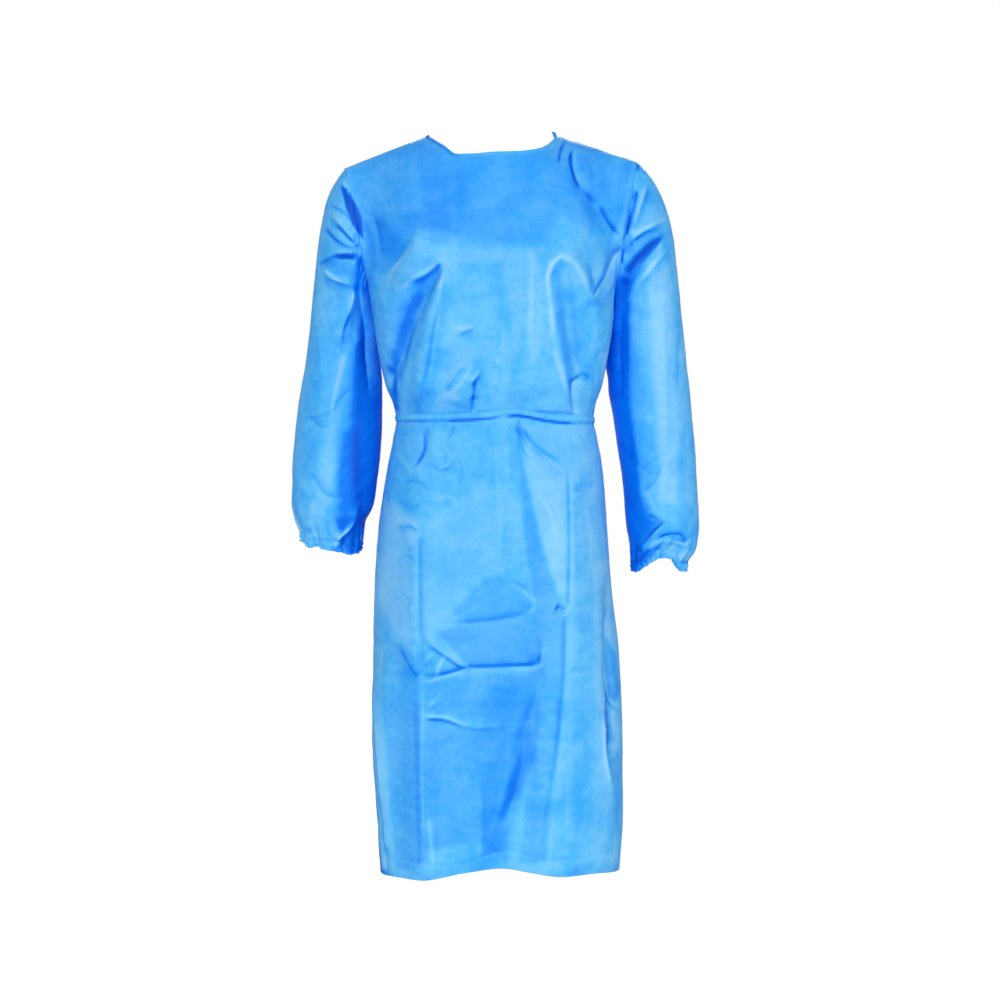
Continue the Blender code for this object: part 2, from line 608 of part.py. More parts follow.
def main():
    for obj in list(bpy.data.objects):
        bpy.data.objects.remove(obj)
    collection = bpy.data.collections.new("patient_gown")
    bpy.context.scene.collection.children.link(collection)
    fabric = material("gown_cloth", gown_blue, 0.62)
    trim = material("trim_cloth", trim_blue, 0.66)

    turns = {
        "front": np.concatenate([
            np.linspace(-90, -right_neck_turn, shoulder_columns),
            np.linspace(-right_neck_turn, left_neck_turn, 15)[1:-1],
            np.linspace(left_neck_turn, 90, shoulder_columns)]),
        "left": np.concatenate([
            180 - np.linspace(90, left_neck_turn, shoulder_columns),
            np.linspace(180 - left_neck_turn, 180, 4)[1:],
            np.linspace(180, 180 + outer_wrap, 3)[1:]]),
        "right": np.concatenate([
            np.linspace(-180 - inner_wrap, -180, 3),
            np.linspace(-180, right_neck_turn - 180, 4)[1:],
            np.linspace(right_neck_turn, 90, shoulder_columns)[1:] - 180]),
    }
    front = body_cloth(turns["front"], True)
    left = body_cloth(turns["left"], False, lapped=True)
    right = body_cloth(turns["right"], False)
    sleeve_right = arm_cloth(right_rings, -1, right_sleeve_folds)
    sleeve_left = arm_cloth(left_rings, 1, left_sleeve_folds)
    cuff_right, cuff_left = cuff_cloth(sleeve_right), cuff_cloth(sleeve_left)
    pieces = {
        "front_panel": (front, fabric),
        "back_panel_left": (left, fabric),
        "back_panel_right": (right, fabric),
        "sleeve_right": (sleeve_right, fabric),
        "sleeve_left": (sleeve_left, fabric),
        "cuff_right": (cuff_right, trim),
        "cuff_left": (cuff_left, trim),
    }
    share_seams([piece for piece, _ in pieces.values()])
    for name, (piece, look) in pieces.items():
        add_cloth(name, piece, look, collection)

    build_belt(front, left, right, turns, trim, collection)
    build_binding(front, left, right, trim, collection)
    middles = {knot.name: build_knot(knot, left, trim, collection) for knot in knots}
    for tail in tails:
        build_tail(tail, middles[tail.knot], left, trim, collection)


main()
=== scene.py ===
import math

import bmesh
import bpy
import numpy as np
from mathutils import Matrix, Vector


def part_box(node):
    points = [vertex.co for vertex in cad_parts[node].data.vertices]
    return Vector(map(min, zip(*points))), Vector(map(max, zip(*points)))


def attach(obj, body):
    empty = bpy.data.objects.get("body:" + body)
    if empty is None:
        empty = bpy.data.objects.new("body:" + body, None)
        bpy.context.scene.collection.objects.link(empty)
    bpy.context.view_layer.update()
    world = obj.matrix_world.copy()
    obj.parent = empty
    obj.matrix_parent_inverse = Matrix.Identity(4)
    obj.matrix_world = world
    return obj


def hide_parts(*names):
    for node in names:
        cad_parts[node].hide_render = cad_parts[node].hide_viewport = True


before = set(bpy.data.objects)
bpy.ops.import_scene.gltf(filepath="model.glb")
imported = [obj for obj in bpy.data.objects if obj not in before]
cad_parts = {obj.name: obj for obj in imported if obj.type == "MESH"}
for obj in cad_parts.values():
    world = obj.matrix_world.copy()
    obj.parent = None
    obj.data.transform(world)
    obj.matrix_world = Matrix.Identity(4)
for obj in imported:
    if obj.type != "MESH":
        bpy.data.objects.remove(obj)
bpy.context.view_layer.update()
print("model loaded:", len(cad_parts), "nodes")

# Metres throughout. The wearer faces -Y and +X is the wearer's left. Turns round the body are in
# degrees: 0 at the centre front, 90 at the wearer's left side seam, 180 at the centre back.
stand = {
    "target": (0.009, 0.0, -0.565),
    "distance": 4.5,
    "seen": 1.54,  # height of the view at that distance
    "floor": -1.47,
}

# The pattern that all the panels share
gown = {
    "hem": -1.130,
    "armpit": -0.235,
    "neckRight": 0.107,  # across to the inner end of each shoulder seam
    "neckLeft": 0.100,
    "outerWrap": 20.0,  # how far the left back panel passes the centre back
    "innerWrap": 15.0,
    "squareness": 2.5,
    "beltHeight": -0.4432,
    "hemTurn": 0.011,  # cloth turned up inside the hem
    "seamTurn": 0.0045,  # cloth turned in along a seam
    "drape": 1.2,  # how strongly the broad folds stand, and the pressed creases
    "press": 1.3,
    "paintedRelief": 2.0,  # how strongly shade and highlights are painted over a fold, and the fixed light they are painted by: towards where it is palest
    "light": (-0.30, -0.70, 0.60),
    "lightBehind": (0.30, 0.70, 0.60),
}

# height, half width right and left, reach of front and back, place of the side seam
bodySections = np.array((
    (-1.150, 0.172, 0.190, 0.154, 0.150, -0.010),
    (-1.050, 0.178, 0.1975, 0.156, 0.150, -0.010),
    (-0.930, 0.1865, 0.197, 0.156, 0.149, -0.010),
    (-0.800, 0.185, 0.192, 0.154, 0.147, -0.009),
    (-0.700, 0.1835, 0.1805, 0.151, 0.144, -0.007),
    (-0.600, 0.1765, 0.173, 0.146, 0.139, -0.006),
    (-0.520, 0.1645, 0.1665, 0.138, 0.130, -0.009),
    (-0.468, 0.154, 0.1575, 0.129, 0.118, -0.015),
    (-0.443, 0.150, 0.1525, 0.121, 0.108, -0.019),
    (-0.420, 0.154, 0.155, 0.129, 0.114, -0.023),
    (-0.390, 0.166, 0.165, 0.138, 0.121, -0.028),
    (-0.345, 0.176, 0.174, 0.140, 0.125, -0.032),
    (-0.300, 0.183, 0.181, 0.138, 0.126, -0.026),
    (-0.260, 0.190, 0.184, 0.136, 0.124, -0.008),
    (-0.235, 0.194, 0.187, 0.134, 0.122, 0.006),
))

# across, rise of the hem in front and behind
hemLine = np.array((
    (-0.190, 0.001, 0.001),
    (-0.155, -0.001, 0.004),
    (-0.108, -0.003, 0.007),
    (-0.045, 0.009, 0.003),
    (0.010, 0.015, 0.000),
    (0.055, 0.009, 0.006),
    (0.100, 0.003, 0.009),
    (0.150, 0.004, 0.003),
    (0.195, 0.000, 0.000),
))

# share of the way to a neck point, drop and reach of the front edge, drop and reach of the back one
neckEdge = np.array((
    (-1.00, 0.006, 0.000, 0.006, 0.000),
    (-0.88, 0.017, -0.026, 0.021, 0.022),
    (-0.72, 0.030, -0.050, 0.036, 0.038),
    (-0.56, 0.044, -0.067, 0.049, 0.048),
    (-0.30, 0.045, -0.080, 0.057, 0.056),
    (0.00, 0.043, -0.085, 0.060, 0.059),
    (0.40, 0.041, -0.079, 0.056, 0.054),
    (0.72, 0.034, -0.058, 0.042, 0.042),
    (0.88, 0.023, -0.032, 0.024, 0.026),
    (1.00, 0.005, 0.000, 0.005, 0.000),
))

# height, how far the left back panel stands off the right one
lapLift = np.array((
    (-1.150, 0.0120),
    (-0.850, 0.0090),
    (-0.560, 0.0050),
    (-0.443, 0.0034),
    (-0.330, 0.0050),
    (-0.150, 0.0052),
    (0.000, 0.0048),
))

# outer point and its height, inner point and its height, middle, reach of front and back
ringsRight = np.array((
    (0.227, -0.052, 0.194, -0.235, 0.008, 0.052, 0.060),
    (0.241, -0.068, 0.1970, -0.250, 0.014, 0.058, 0.063),
    (0.259, -0.103, 0.1925, -0.274, 0.022, 0.062, 0.064),
    (0.2715, -0.160, 0.1850, -0.302, 0.031, 0.062, 0.064),
    (0.280, -0.235, 0.1790, -0.334, 0.036, 0.062, 0.064),
    (0.290, -0.335, 0.1735, -0.384, 0.033, 0.062, 0.064),
    (0.304, -0.430, 0.1730, -0.445, 0.018, 0.064, 0.064),
    (0.311, -0.520, 0.1790, -0.530, 0.002, 0.063, 0.061),
    (0.311, -0.565, 0.1875, -0.578, -0.006, 0.060, 0.056),
    (0.306, -0.600, 0.198, -0.604, -0.012, 0.050, 0.046),
    (0.298, -0.622, 0.201, -0.634, -0.015, 0.038, 0.036),
))
ringsLeft = np.array((
    (0.220, -0.044, 0.187, -0.235, 0.008, 0.052, 0.060),
    (0.240, -0.064, 0.1890, -0.254, 0.014, 0.058, 0.063),
    (0.262, -0.103, 0.1860, -0.276, 0.022, 0.062, 0.064),
    (0.278, -0.160, 0.1820, -0.302, 0.031, 0.062, 0.064),
    (0.287, -0.240, 0.1770, -0.334, 0.036, 0.062, 0.064),
    (0.297, -0.340, 0.1770, -0.384, 0.033, 0.061, 0.063),
    (0.306, -0.435, 0.186, -0.450, 0.018, 0.062, 0.062),
    (0.312, -0.530, 0.198, -0.540, 0.002, 0.061, 0.060),
    (0.3150, -0.600, 0.203, -0.602, -0.006, 0.060, 0.056),
    (0.310, -0.640, 0.208, -0.636, -0.012, 0.052, 0.047),
    (0.298, -0.660, 0.209, -0.660, -0.015, 0.040, 0.036),
))


def smoothCurve(steps, values, at):  # through every value, never past one
    steps = np.asarray(steps, float)
    values = np.asarray(values, float)
    at = np.clip(at, steps[0], steps[-1])
    wide = np.diff(steps)
    rise = np.diff(values) / wide
    slope = np.zeros(len(values))
    same = rise[1:] * rise[:-1] > 0
    slope[1:-1][same] = 2 / (1 / rise[1:][same] + 1 / rise[:-1][same])
    slope[0] = rise[0]
    slope[-1] = rise[-1]
    k = np.clip(np.searchsorted(steps, at) - 1, 0, len(rise) - 1)
    t = (at - steps[k]) / wide[k]
    start = (1 + 2 * t) * (1 - t) ** 2 * values[k] + t * (1 - t) ** 2 * wide[k] * slope[k]
    end = t**2 * (3 - 2 * t) * values[k + 1] + t**2 * (t - 1) * wide[k] * slope[k + 1]
    return start + end


def easeIn(value, start, end):  # from 0 at the start to 1 at the end
    t = np.clip((value - start) / (end - start), 0, 1)
    return t * t * (3 - 2 * t)


def bell(value, middle, wide):
    return np.exp(-(((value - middle) / wide) ** 2))


def metres(millimetres):
    return np.array(millimetres) / 1000


def runOf(points):  # how far along the line each point lies
    return np.concatenate([[0], np.cumsum(np.linalg.norm(np.diff(points, axis=0), axis=1))])


def unitOf(vectors):
    return vectors / np.maximum(np.linalg.norm(vectors, axis=-1, keepdims=True), 1e-12)


def squareTo(along, vectors):
    return unitOf(vectors - along * np.sum(vectors * along, axis=1, keepdims=True))


def gridNormals(points, closed=False):
    if closed:
        along = np.roll(points, -1, 1) - np.roll(points, 1, 1)
    else:
        along = np.gradient(points, axis=1)
    out = unitOf(np.cross(along, np.gradient(points, axis=0)))
    middle = points.mean(axis=1, keepdims=True)
    return out if np.sum((points - middle) * out) > 0 else -out


def turnOf(side):
    power = gown["squareness"]
    return math.degrees(math.atan2(side, (1 - abs(side) ** power) ** (1 / power)))


rightNeckTurn = turnOf(gown["neckRight"] / ringsRight[0][0])
leftNeckTurn = turnOf(gown["neckLeft"] / ringsLeft[0][0])


def topEdge(across, front):  # neck edge and shoulder seams, seen across the body
    right = across < 0
    neck = np.where(right, gown["neckRight"], gown["neckLeft"])
    tip = np.where(right, ringsRight[0][0], ringsLeft[0][0])
    tipHeight = np.where(right, ringsRight[0][1], ringsLeft[0][1])
    share = np.clip(across / neck, -1, 1)
    drop, reach = (1, 2) if front else (3, 4)
    height = -smoothCurve(neckEdge[:, 0], neckEdge[:, drop], share)
    depth = smoothCurve(neckEdge[:, 0], neckEdge[:, reach], share)
    out = np.clip((np.abs(across) - neck) / (tip - neck), 0, 1)
    return height + (tipHeight - height) * out, depth + ringsLeft[0][4] * out


def armhole(rings, front, climb):
    outer, outerHeight, inner, innerHeight, middle, ahead, behind = rings[0]
    up = (1 - np.cos(np.pi * climb)) / 2
    bow = np.sin(np.pi * climb)
    across = inner + (outer - inner) * up
    height = innerHeight + (outerHeight - innerHeight) * up
    return across, middle + (-ahead if front else behind) * bow, height


def bodyForm(turn, level, front):  # level is a height up to the armpits, then climbs from 0 to 1
    power = gown["squareness"]
    armpit = gown["armpit"]
    angle = np.radians(turn)
    sine, cosine = np.sin(angle), np.cos(angle)
    norm = (np.abs(sine) ** power + np.abs(cosine) ** power) ** (1 / power)
    side, depth = sine / norm, np.abs(cosine) / norm
    right = side < 0
    height = np.minimum(level, armpit)
    rows = bodySections[:, 0]
    widthRight = smoothCurve(rows, bodySections[:, 1], height)
    widthLeft = smoothCurve(rows, bodySections[:, 2], height)
    half = np.where(right, widthRight, widthLeft)
    seam = smoothCurve(rows, bodySections[:, 5], height)
    ahead = smoothCurve(rows, bodySections[:, 3 if front else 4], height)
    along = side * half
    reach = seam + ((-ahead if front else ahead) - seam) * depth
    hem = smoothCurve(hemLine[:, 0], hemLine[:, 1 if front else 2], along)
    height = height + hem * (1 - easeIn(height, gown["hem"], gown["hem"] + 0.25))

    # above the armpits the columns spread out evenly and bend over the shoulder
    climb = np.where(level > armpit, level, 0)
    fromFront = np.minimum(np.abs(turn), 180 - np.abs(turn))
    neck = np.where(right, rightNeckTurn, leftNeckTurn)
    tip = np.where(right, ringsRight[0][0], ringsLeft[0][0])
    neckSide = np.where(right, gown["neckRight"], gown["neckLeft"]) / tip
    even = neckSide + (1 - neckSide) * (fromFront - neck) / (90 - neck)
    spread = easeIn(climb, 0.0, 0.3) * easeIn(fromFront, neck - 6, neck + 6)
    side = side + np.sign(side) * (even - np.abs(side)) * spread
    topHeight, topReach = topEdge(side * tip, front)
    bend = np.radians(50 + 40 * easeIn(np.abs(side), 0.25, 0.60))
    arc = bend * climb
    rise = np.sin(arc) / np.sin(bend)
    lean = (np.cos(arc) - np.cos(bend)) / (1 - np.cos(bend))
    across = along + (side * tip - along) * climb
    height = height + (topHeight - height) * rise
    reach = topReach + (reach - topReach) * lean

    # near the arm they turn into the armhole
    into = easeIn(np.abs(side), 0.55, 1.0) * (level > armpit)
    for rings, here in ((ringsRight, right), (ringsLeft, ~right)):
        armAcross, armReach, armHeight = armhole(rings, front, climb)
        share = into * here
        across = across + (np.sign(side) * armAcross - across) * share
        reach = reach + (armReach - reach) * share
        height = height + (armHeight - height) * share
    return np.stack([across, reach, height], axis=-1)


# Folds and creases are laid out on the view from in front, or from behind, as a pattern maker
# would chalk them: (across, height) points that run down or to the wearer's left.
def onView(points, behind=False):
    depth = -points[..., 1] if behind else points[..., 1]
    nearer = stand["distance"] / (stand["distance"] + depth)
    across = stand["target"][0] + (points[..., 0] - stand["target"][0]) * nearer
    height = stand["target"][2] + (points[..., 2] - stand["target"][2]) * nearer
    return across, height


def softPath(corners, count=28):  # a smooth line through the corners
    if len(corners) == 2:
        return corners[0] + (corners[1] - corners[0]) * np.linspace(0, 1, 5)[:, None]
    run = runOf(corners)
    at = np.linspace(0, run[-1], count)
    slopes = np.gradient(corners, run, axis=0)
    k = np.clip(np.searchsorted(run, at) - 1, 0, len(run) - 2)
    wide = (run[k + 1] - run[k])[:, None]
    t = (at - run[k])[:, None] / wide
    start = (1 + 2 * t) * (1 - t) ** 2 * corners[k] + t * (1 - t) ** 2 * wide * slopes[k]
    end = t**2 * (3 - 2 * t) * corners[k + 1] + t**2 * (t - 1) * wide * slopes[k + 1]
    return start + end


def offPath(path, across, height):  # distance from a path, its side (+ is left or up) and share along it
    nearest = np.full(across.shape, np.inf)
    side = np.zeros_like(across)
    along = np.zeros_like(across)
    count = len(path) - 1
    for k in range(count):
        a = path[k]
        run = path[k + 1] - a
        size = run @ run
        t = np.clip(((across - a[0]) * run[0] + (height - a[1]) * run[1]) / size, 0, 1)
        offAcross = across - a[0] - t * run[0]
        offHeight = height - a[1] - t * run[1]
        away = np.hypot(offAcross, offHeight)
        closer = away < nearest
        nearest = np.where(closer, away, nearest)
        side = np.where(closer, np.sign(run[0] * offHeight - run[1] * offAcross), side)
        along = np.where(closer, (k + t) / count, along)
    return nearest, side, along


def foldLift(folds, across, height):  # broad soft folds: path, width, lift
    total = np.zeros_like(across)
    for path, wide, lift in folds:
        away, _, along = offPath(metres(path), across, height)
        ends = easeIn(along, -0.05, 0.25) * (1 - 0.5 * easeIn(along, 0.8, 1.1))
        total += metres(lift) * ends * bell(away, 0, metres(wide))
    return total


crease = {
    "sharp": 0.0004,  # radius of the pressed edge
    "spread": 3.2,  # how far it reaches, in its own widths
    "room": 4.5,  # nothing is worked out further away than this
}


def creaseLift(creases, across, height):
    # pressed creases: path, lift, width on the low side and on the high side, ends that fade
    total = np.zeros_like(across)
    for path, lift, lowWide, highWide, fadeIn, fadeOut in creases:
        line = softPath(metres(path))
        lift, lowWide, highWide = metres((lift, lowWide, highWide))
        room = crease["room"] * max(lowWide, highWide)
        near = (across > line[:, 0].min() - room) & (across < line[:, 0].max() + room)
        near &= (height > line[:, 1].min() - room) & (height < line[:, 1].max() + room)
        if not near.any():
            continue
        away, side, along = offPath(line, across[near], height[near])
        wide = np.where(side > 0, highWide, lowWide)
        rounded = np.sqrt(away**2 + crease["sharp"] ** 2) - crease["sharp"]
        ridge = np.exp(-rounded / wide) * bell(away, 0, crease["spread"] * wide)
        ends = easeIn(along, 0, max(fadeIn, 1e-3)) * (1 - easeIn(along, 1 - max(fadeOut, 1e-3), 1))
        total[near] += lift * ends * ridge
    return total


def crumple(across, height, size, lift, seed):  # crinkles left by the pack, in straight little facets
    chance = np.random.default_rng(seed)
    full = 2 * math.pi
    total = np.zeros_like(across)
    for _ in range(7):
        way = chance.uniform(0, math.pi)
        pitch = size * chance.uniform(0.7, 1.8)
        start = chance.uniform(0, 1, 6)
        u = across * math.cos(way) + height * math.sin(way)
        v = -across * math.sin(way) + height * math.cos(way)
        u = u + 0.12 * pitch * np.sin(full * (v / (pitch * 3.1) + start[0]))
        wave = np.abs(((u / pitch + start[1]) % 1) * 2 - 1) - 0.5
        patch = np.sin(full * (u / (pitch * 2.7) + start[2]))
        patch += np.sin(full * (v / (pitch * 4.3) + start[3]))
        total += wave * easeIn(patch, 0.2, 1.6) * chance.uniform(0.6, 1.0)
    return total * lift


def crinkles(across, height, choice):  # broad ones, and finer ones over them
    size, lift = choice["crinkle"]
    broad = crumple(across, height, size, lift * 0.6, choice["seed"])
    return broad + crumple(across, height, size * 0.45, lift * 0.25, choice["seed"] + 1)


class Wire:  # a socket that can be added, taken away and multiplied
    def __init__(self, look, socket):
        self.look = look
        self.socket = socket

    def sum(self, operation, first, second):
        return self.look.node("Math", {"operation": operation}, {0: first, 1: second})

    def __add__(self, other):
        return self.sum("ADD", self, other)

    def __radd__(self, other):
        return self.sum("ADD", other, self)

    def __sub__(self, other):
        return self.sum("SUBTRACT", self, other)

    def __rsub__(self, other):
        return self.sum("SUBTRACT", other, self)

    def __mul__(self, other):
        return self.sum("MULTIPLY", self, other)

    def __rmul__(self, other):
        return self.sum("MULTIPLY", other, self)


class Look:  # the nodes of a material or of the world
    def __init__(self, holder):
        holder.use_nodes = True
        self.tree = holder.node_tree
        self.tree.nodes.clear()

    def node(self, kind, settings=None, sockets=None, output=0):
        made = self.tree.nodes.new("ShaderNode" + kind)
        for name, value in (settings or {}).items():
            setattr(made, name, value)
        for name, value in (sockets or {}).items():
            if isinstance(value, Wire):
                self.tree.links.new(value.socket, made.inputs[name])
            else:
                made.inputs[name].default_value = value
        return Wire(self, made.outputs[output]) if made.outputs else None

    def blend(self, share, first, second):  # of two colours
        settings = {"data_type": "RGBA", "blend_type": "MIX", "clamp_factor": True}
        return self.node("Mix", settings, {0: share, 6: first, 7: second}, 2)

    def between(self, value, low, high):  # 0 below low, 1 above high
        settings = {"interpolation_type": "SMOOTHSTEP"}
        return self.node("MapRange", settings, {0: value, 1: low, 2: high, 3: 0.0, 4: 1.0})


gownCloth = {
    "main": (0.082, 0.53, 1.0, 1.0),
    "pale": (0.165, 0.62, 1.0, 1.0),
    "deep": (0.036, 0.44, 0.98, 1.0),
    "shaded": (0.0, 0.255, 0.97, 1.0),
    "shadedShare": 1.25,
    "slitShade": (0.0, 0.095, 0.66, 1.0),  # painted shade of the deepest folds, from this tone on
    "slitShadeFrom": 0.6,
    "lit": (0.42, 0.79, 1.0, 1.0),
    "litShare": 0.85,
    "roughness": 0.46,
    "sheen": 0.015,
    "gloss": 0.16,
    "glow": 0.20,  # share of the light that comes through the cloth
    "bondPitch": 0.0016,
    "bondDepth": 0.00006,
    "crinkle": 0.0009,
    # how fine the clouds, the flecks, the fibres and the small wrinkles are
    "clouds": 11.0,
    "flecks": 70.0,
    "fibres": 1400.0,
    "wrinkles": 38.0,
}
trimCloth = {
    **gownCloth,
    "main": (0.080, 0.51, 0.99, 1.0),
    "pale": (0.14, 0.59, 1.0, 1.0),
    "deep": (0.038, 0.42, 0.95, 1.0),
    "shaded": (0.0, 0.24, 0.93, 1.0),
    "slitShade": (0.0, 0.085, 0.60, 1.0),
    "roughness": 0.50,
    "glow": 0.10,
    "bondPitch": 0.0012,
    "bondDepth": 0.00008,
    "crinkle": 0.0003,
}


def nonwovenLook(name, choice):  # spunbonded cloth: a satin web pressed with small bond points
    material = bpy.data.materials.new(name)
    look = Look(material)
    place = look.node("TexCoord", output="Object")

    def noise(scale, detail, roughness=0.5):
        return look.node("TexNoise", None, {
            "Vector": place,
            "Scale": scale,
            "Detail": detail,
            "Roughness": roughness,
        })

    cloud = noise(choice["clouds"], 3.0, 0.55)
    fleck = noise(choice["flecks"], 5.0, 0.65)
    fibre = noise(choice["fibres"], 2.0)
    bond = look.node("TexVoronoi", {"feature": "F1"}, {
        "Vector": place,
        "Scale": 1 / choice["bondPitch"],
        "Randomness": 0.35,
    })
    dot = look.between(bond, 0.20, 0.42)

    paler = look.between(cloud * 0.62 + fleck * 0.38, 0.43, 0.60)
    deeper = look.between(1 - (cloud * 0.6 + fleck * 0.4), 0.50, 0.68)
    colour = look.blend(paler * 0.8, choice["main"], choice["pale"])
    colour = look.blend(deeper * 0.7, colour, choice["deep"])
    # Painted shade and light: a tone kept on each point mixes in the shaded and slit blues for shade, and
    # the lit blue for highlights
    paintedShade = look.node("Attribute", {"attribute_name": "paintedShade"}, output="Fac")
    colour = look.blend(paintedShade * choice["shadedShare"], colour, choice["shaded"])
    colour = look.blend(paintedShade - choice["slitShadeFrom"], colour, choice["slitShade"])
    colour = look.blend(paintedShade * -choice["litShare"], colour, choice["lit"])
    colour = look.blend((1 - dot) * 0.10, colour, choice["deep"])

    bump = look.node("Bump", None, {
        "Strength": 0.55,
        "Distance": choice["crinkle"],
        "Height": noise(choice["wrinkles"], 3.0),
    })
    bump = look.node("Bump", None, {
        "Strength": 0.8,
        "Distance": choice["bondDepth"],
        "Height": dot * 0.8 + fibre * 0.5,
        "Normal": bump,
    })
    rough = choice["roughness"] + (fleck - 0.5) * 0.22 + (1 - dot) * 0.06

    face = look.node("BsdfPrincipled", None, {
        "Base Color": colour,
        "Roughness": rough,
        "Specular IOR Level": choice["gloss"],
        "Normal": bump,
        "Sheen Weight": choice["sheen"],
        "Sheen Roughness": 0.4,
        "Sheen Tint": (0.75, 0.85, 1.0, 1.0),
    })
    through = look.node("BsdfTranslucent", None, {"Color": colour, "Normal": bump})
    both = look.node("MixShader", None, {0: choice["glow"], 1: face, 2: through})
    look.node("OutputMaterial", None, {"Surface": both})
    return material


gownLook = nonwovenLook("gownCloth", gownCloth)
trimLook = nonwovenLook("trimCloth", trimCloth)
print("cloth looks made")


def meshPiece(name, points, faces, look, node, shades=None):
    mesh = bpy.data.meshes.new(name)
    points = np.asarray(points, np.float32).reshape(-1, 3)
    faces = np.asarray(faces, np.int32)
    mesh.vertices.add(len(points))
    mesh.vertices.foreach_set("co", points.ravel())
    mesh.loops.add(faces.size)
    mesh.loops.foreach_set("vertex_index", faces.ravel())
    mesh.polygons.add(len(faces))
    mesh.polygons.foreach_set("loop_start", np.arange(len(faces), dtype=np.int32) * faces.shape[1])
    mesh.update(calc_edges=True)
    mesh.materials.append(look)
    mesh.polygons.foreach_set("use_smooth", np.ones(len(faces), bool))
    # each point's painted shade (above 0) and painted highlight (below 0)
    paintedShade = mesh.attributes.new("paintedShade", "FLOAT", "POINT")
    if shades is None:
        shades = np.zeros(len(points))
    paintedShade.data.foreach_set("value", np.clip(shades, -1, 1.5).astype(np.float32).ravel())
    made = bpy.data.objects.new(name, mesh)
    bpy.context.scene.collection.objects.link(made)
    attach(made, "root")
    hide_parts(node)
    return made


def report(made):
    area = sum(face.area for face in made.data.polygons)
    print(made.name, "quads", len(made.data.polygons), "area", round(area, 5))


def gridFaces(rows, columns, closed=False, flip=False):
    across = columns if closed else columns - 1
    r, c = np.meshgrid(np.arange(rows - 1), np.arange(across), indexing="ij")
    beside = (c + 1) % columns
    corners = [r * columns + c, r * columns + beside, (r + 1) * columns + beside, (r + 1) * columns + c]
    if flip:
        corners = corners[::-1]
    return np.stack(corners, axis=-1).reshape(-1, 4)


def ringFaces(rows, corners):  # a tube whose last row joins its first
    last = np.arange(corners) + (rows - 1) * corners
    first = np.arange(corners)
    ring = np.stack([last, np.roll(last, -1), np.roll(first, -1), first], axis=-1)
    return np.concatenate([gridFaces(rows, corners, True), ring])


# how an edge is rounded over and turned in: (back from the edge, into the wall)
seamEdge = ((0.0008, 0.0), (0.0003, 0.0003), (-0.0002, 0.0011), (-0.0002, gown["seamTurn"]))
hemEdge = ((0.0006, 0.0), (0.0001, 0.0003), (0.0001, 0.0009), (0.0008, 0.0014), (gown["hemTurn"], 0.0017))
# where a cuff goes on
joinEdge = ((0.0002, 0.0), (0.0, 0.0003), (-0.0002, 0.0010), (-0.0002, gown["seamTurn"]))


def turnedIn(points, shades, low, high, sides=None):  # sides: None for a closed ring of cloth
    closed = sides is None
    out = gridNormals(points, closed)
    rows, columns = points.shape[:2]

    def edgeList(count, start, end):
        steps = [(0, back, into) for back, into in start[:0:-1]] + [(0, *start[0])]
        steps += [(k, 0.0, 0.0) for k in range(1, count - 1)]
        steps += [(count - 1, *end[0])] + [(count - 1, back, into) for back, into in end[1:]]
        return steps

    rowSteps = edgeList(rows, low, high)
    columnSteps = [(k, 0.0, 0.0) for k in range(columns)] if closed else edgeList(columns, sides, sides)
    rowPick, rowBack, rowInto = np.array(rowSteps).T
    columnPick, columnBack, columnInto = np.array(columnSteps).T
    into = np.maximum(rowInto[:, None, None], columnInto[None, :, None])
    upward = np.zeros_like(points)
    upward[0] = unitOf(points[1] - points[0])
    upward[-1] = unitOf(points[-2] - points[-1])
    inward = np.zeros_like(points)
    if not closed:
        inward[:, 0] = unitOf(points[:, 1] - points[:, 0])
        inward[:, -1] = unitOf(points[:, -2] - points[:, -1])
    pick = np.ix_(rowPick.astype(int), columnPick.astype(int))
    grid = points[pick] + upward[pick] * rowBack[:, None, None] + inward[pick] * columnBack[None, :, None]
    return grid - out[pick] * into, shades[pick]


def paintedReliefTone(smooth, detailed, towards):
    # painted shade: a deeper blue where a fold turns the cloth away from a fixed light, and a painted
    # highlight, a paler blue, where it turns up
    change = np.sum((smooth - detailed) * unitOf(np.array(towards)), axis=-1)
    return np.clip(gown["paintedRelief"] * change, -1, 1)


def paintedPatchTone(paintedPatches, across, height):  # painted shade and highlights over patches between creases: corners, tone, softness
    total = np.zeros_like(across)
    for corners, tone, soft in paintedPatches:
        corners = metres(corners)
        soft = metres(soft)
        away = np.full(across.shape, np.inf)
        inside = np.zeros(across.shape, bool)
        for a, b in zip(corners, np.roll(corners, -1, 0)):
            run = b - a
            t = np.clip(((across - a[0]) * run[0] + (height - a[1]) * run[1]) / (run @ run), 0, 1)
            away = np.minimum(away, np.hypot(across - a[0] - t * run[0], height - a[1] - t * run[1]))
            if a[1] != b[1]:
                crossing = a[0] + (height - a[1]) / (b[1] - a[1]) * run[0]
                inside ^= ((a[1] > height) != (b[1] > height)) & (across < crossing)
        total += tone * easeIn(np.where(inside, away, -away), -soft, soft)
    return total


def paintedStrokeTone(paintedStrokes, across, height):  # painted shade and highlights along a crease: path, tone, width
    total = np.zeros_like(across)
    for path, tone, wide in paintedStrokes:
        away, _, along = offPath(softPath(metres(path), 12), across, height)
        ends = easeIn(along, -0.02, 0.15) * (1 - easeIn(along, 0.8, 1.02))
        total += tone * ends * bell(away, 0, metres(wide))
    return total


panel = {
    "blend": 60,  # rounds of smoothing where the armholes begin
    "atBelt": 0.85,  # how much of the folds the belt presses flat, and over what height
    "beltReach": 0.020,
    "radius": 0.17,  # for laying the crinkles out flat
    "sideFolds": (0.02, 0.45),  # the folds die away towards the sides
    "underArm": (0.152, 0.184),  # and under the arms: how far across, how high
    "armHeight": (-0.32, -0.26),
    "sidePaintedMarks": (0.05, 0.32),  # no painted shade and light round the skirt's side seams
    "skirtFrom": (0.42, 0.52),
}


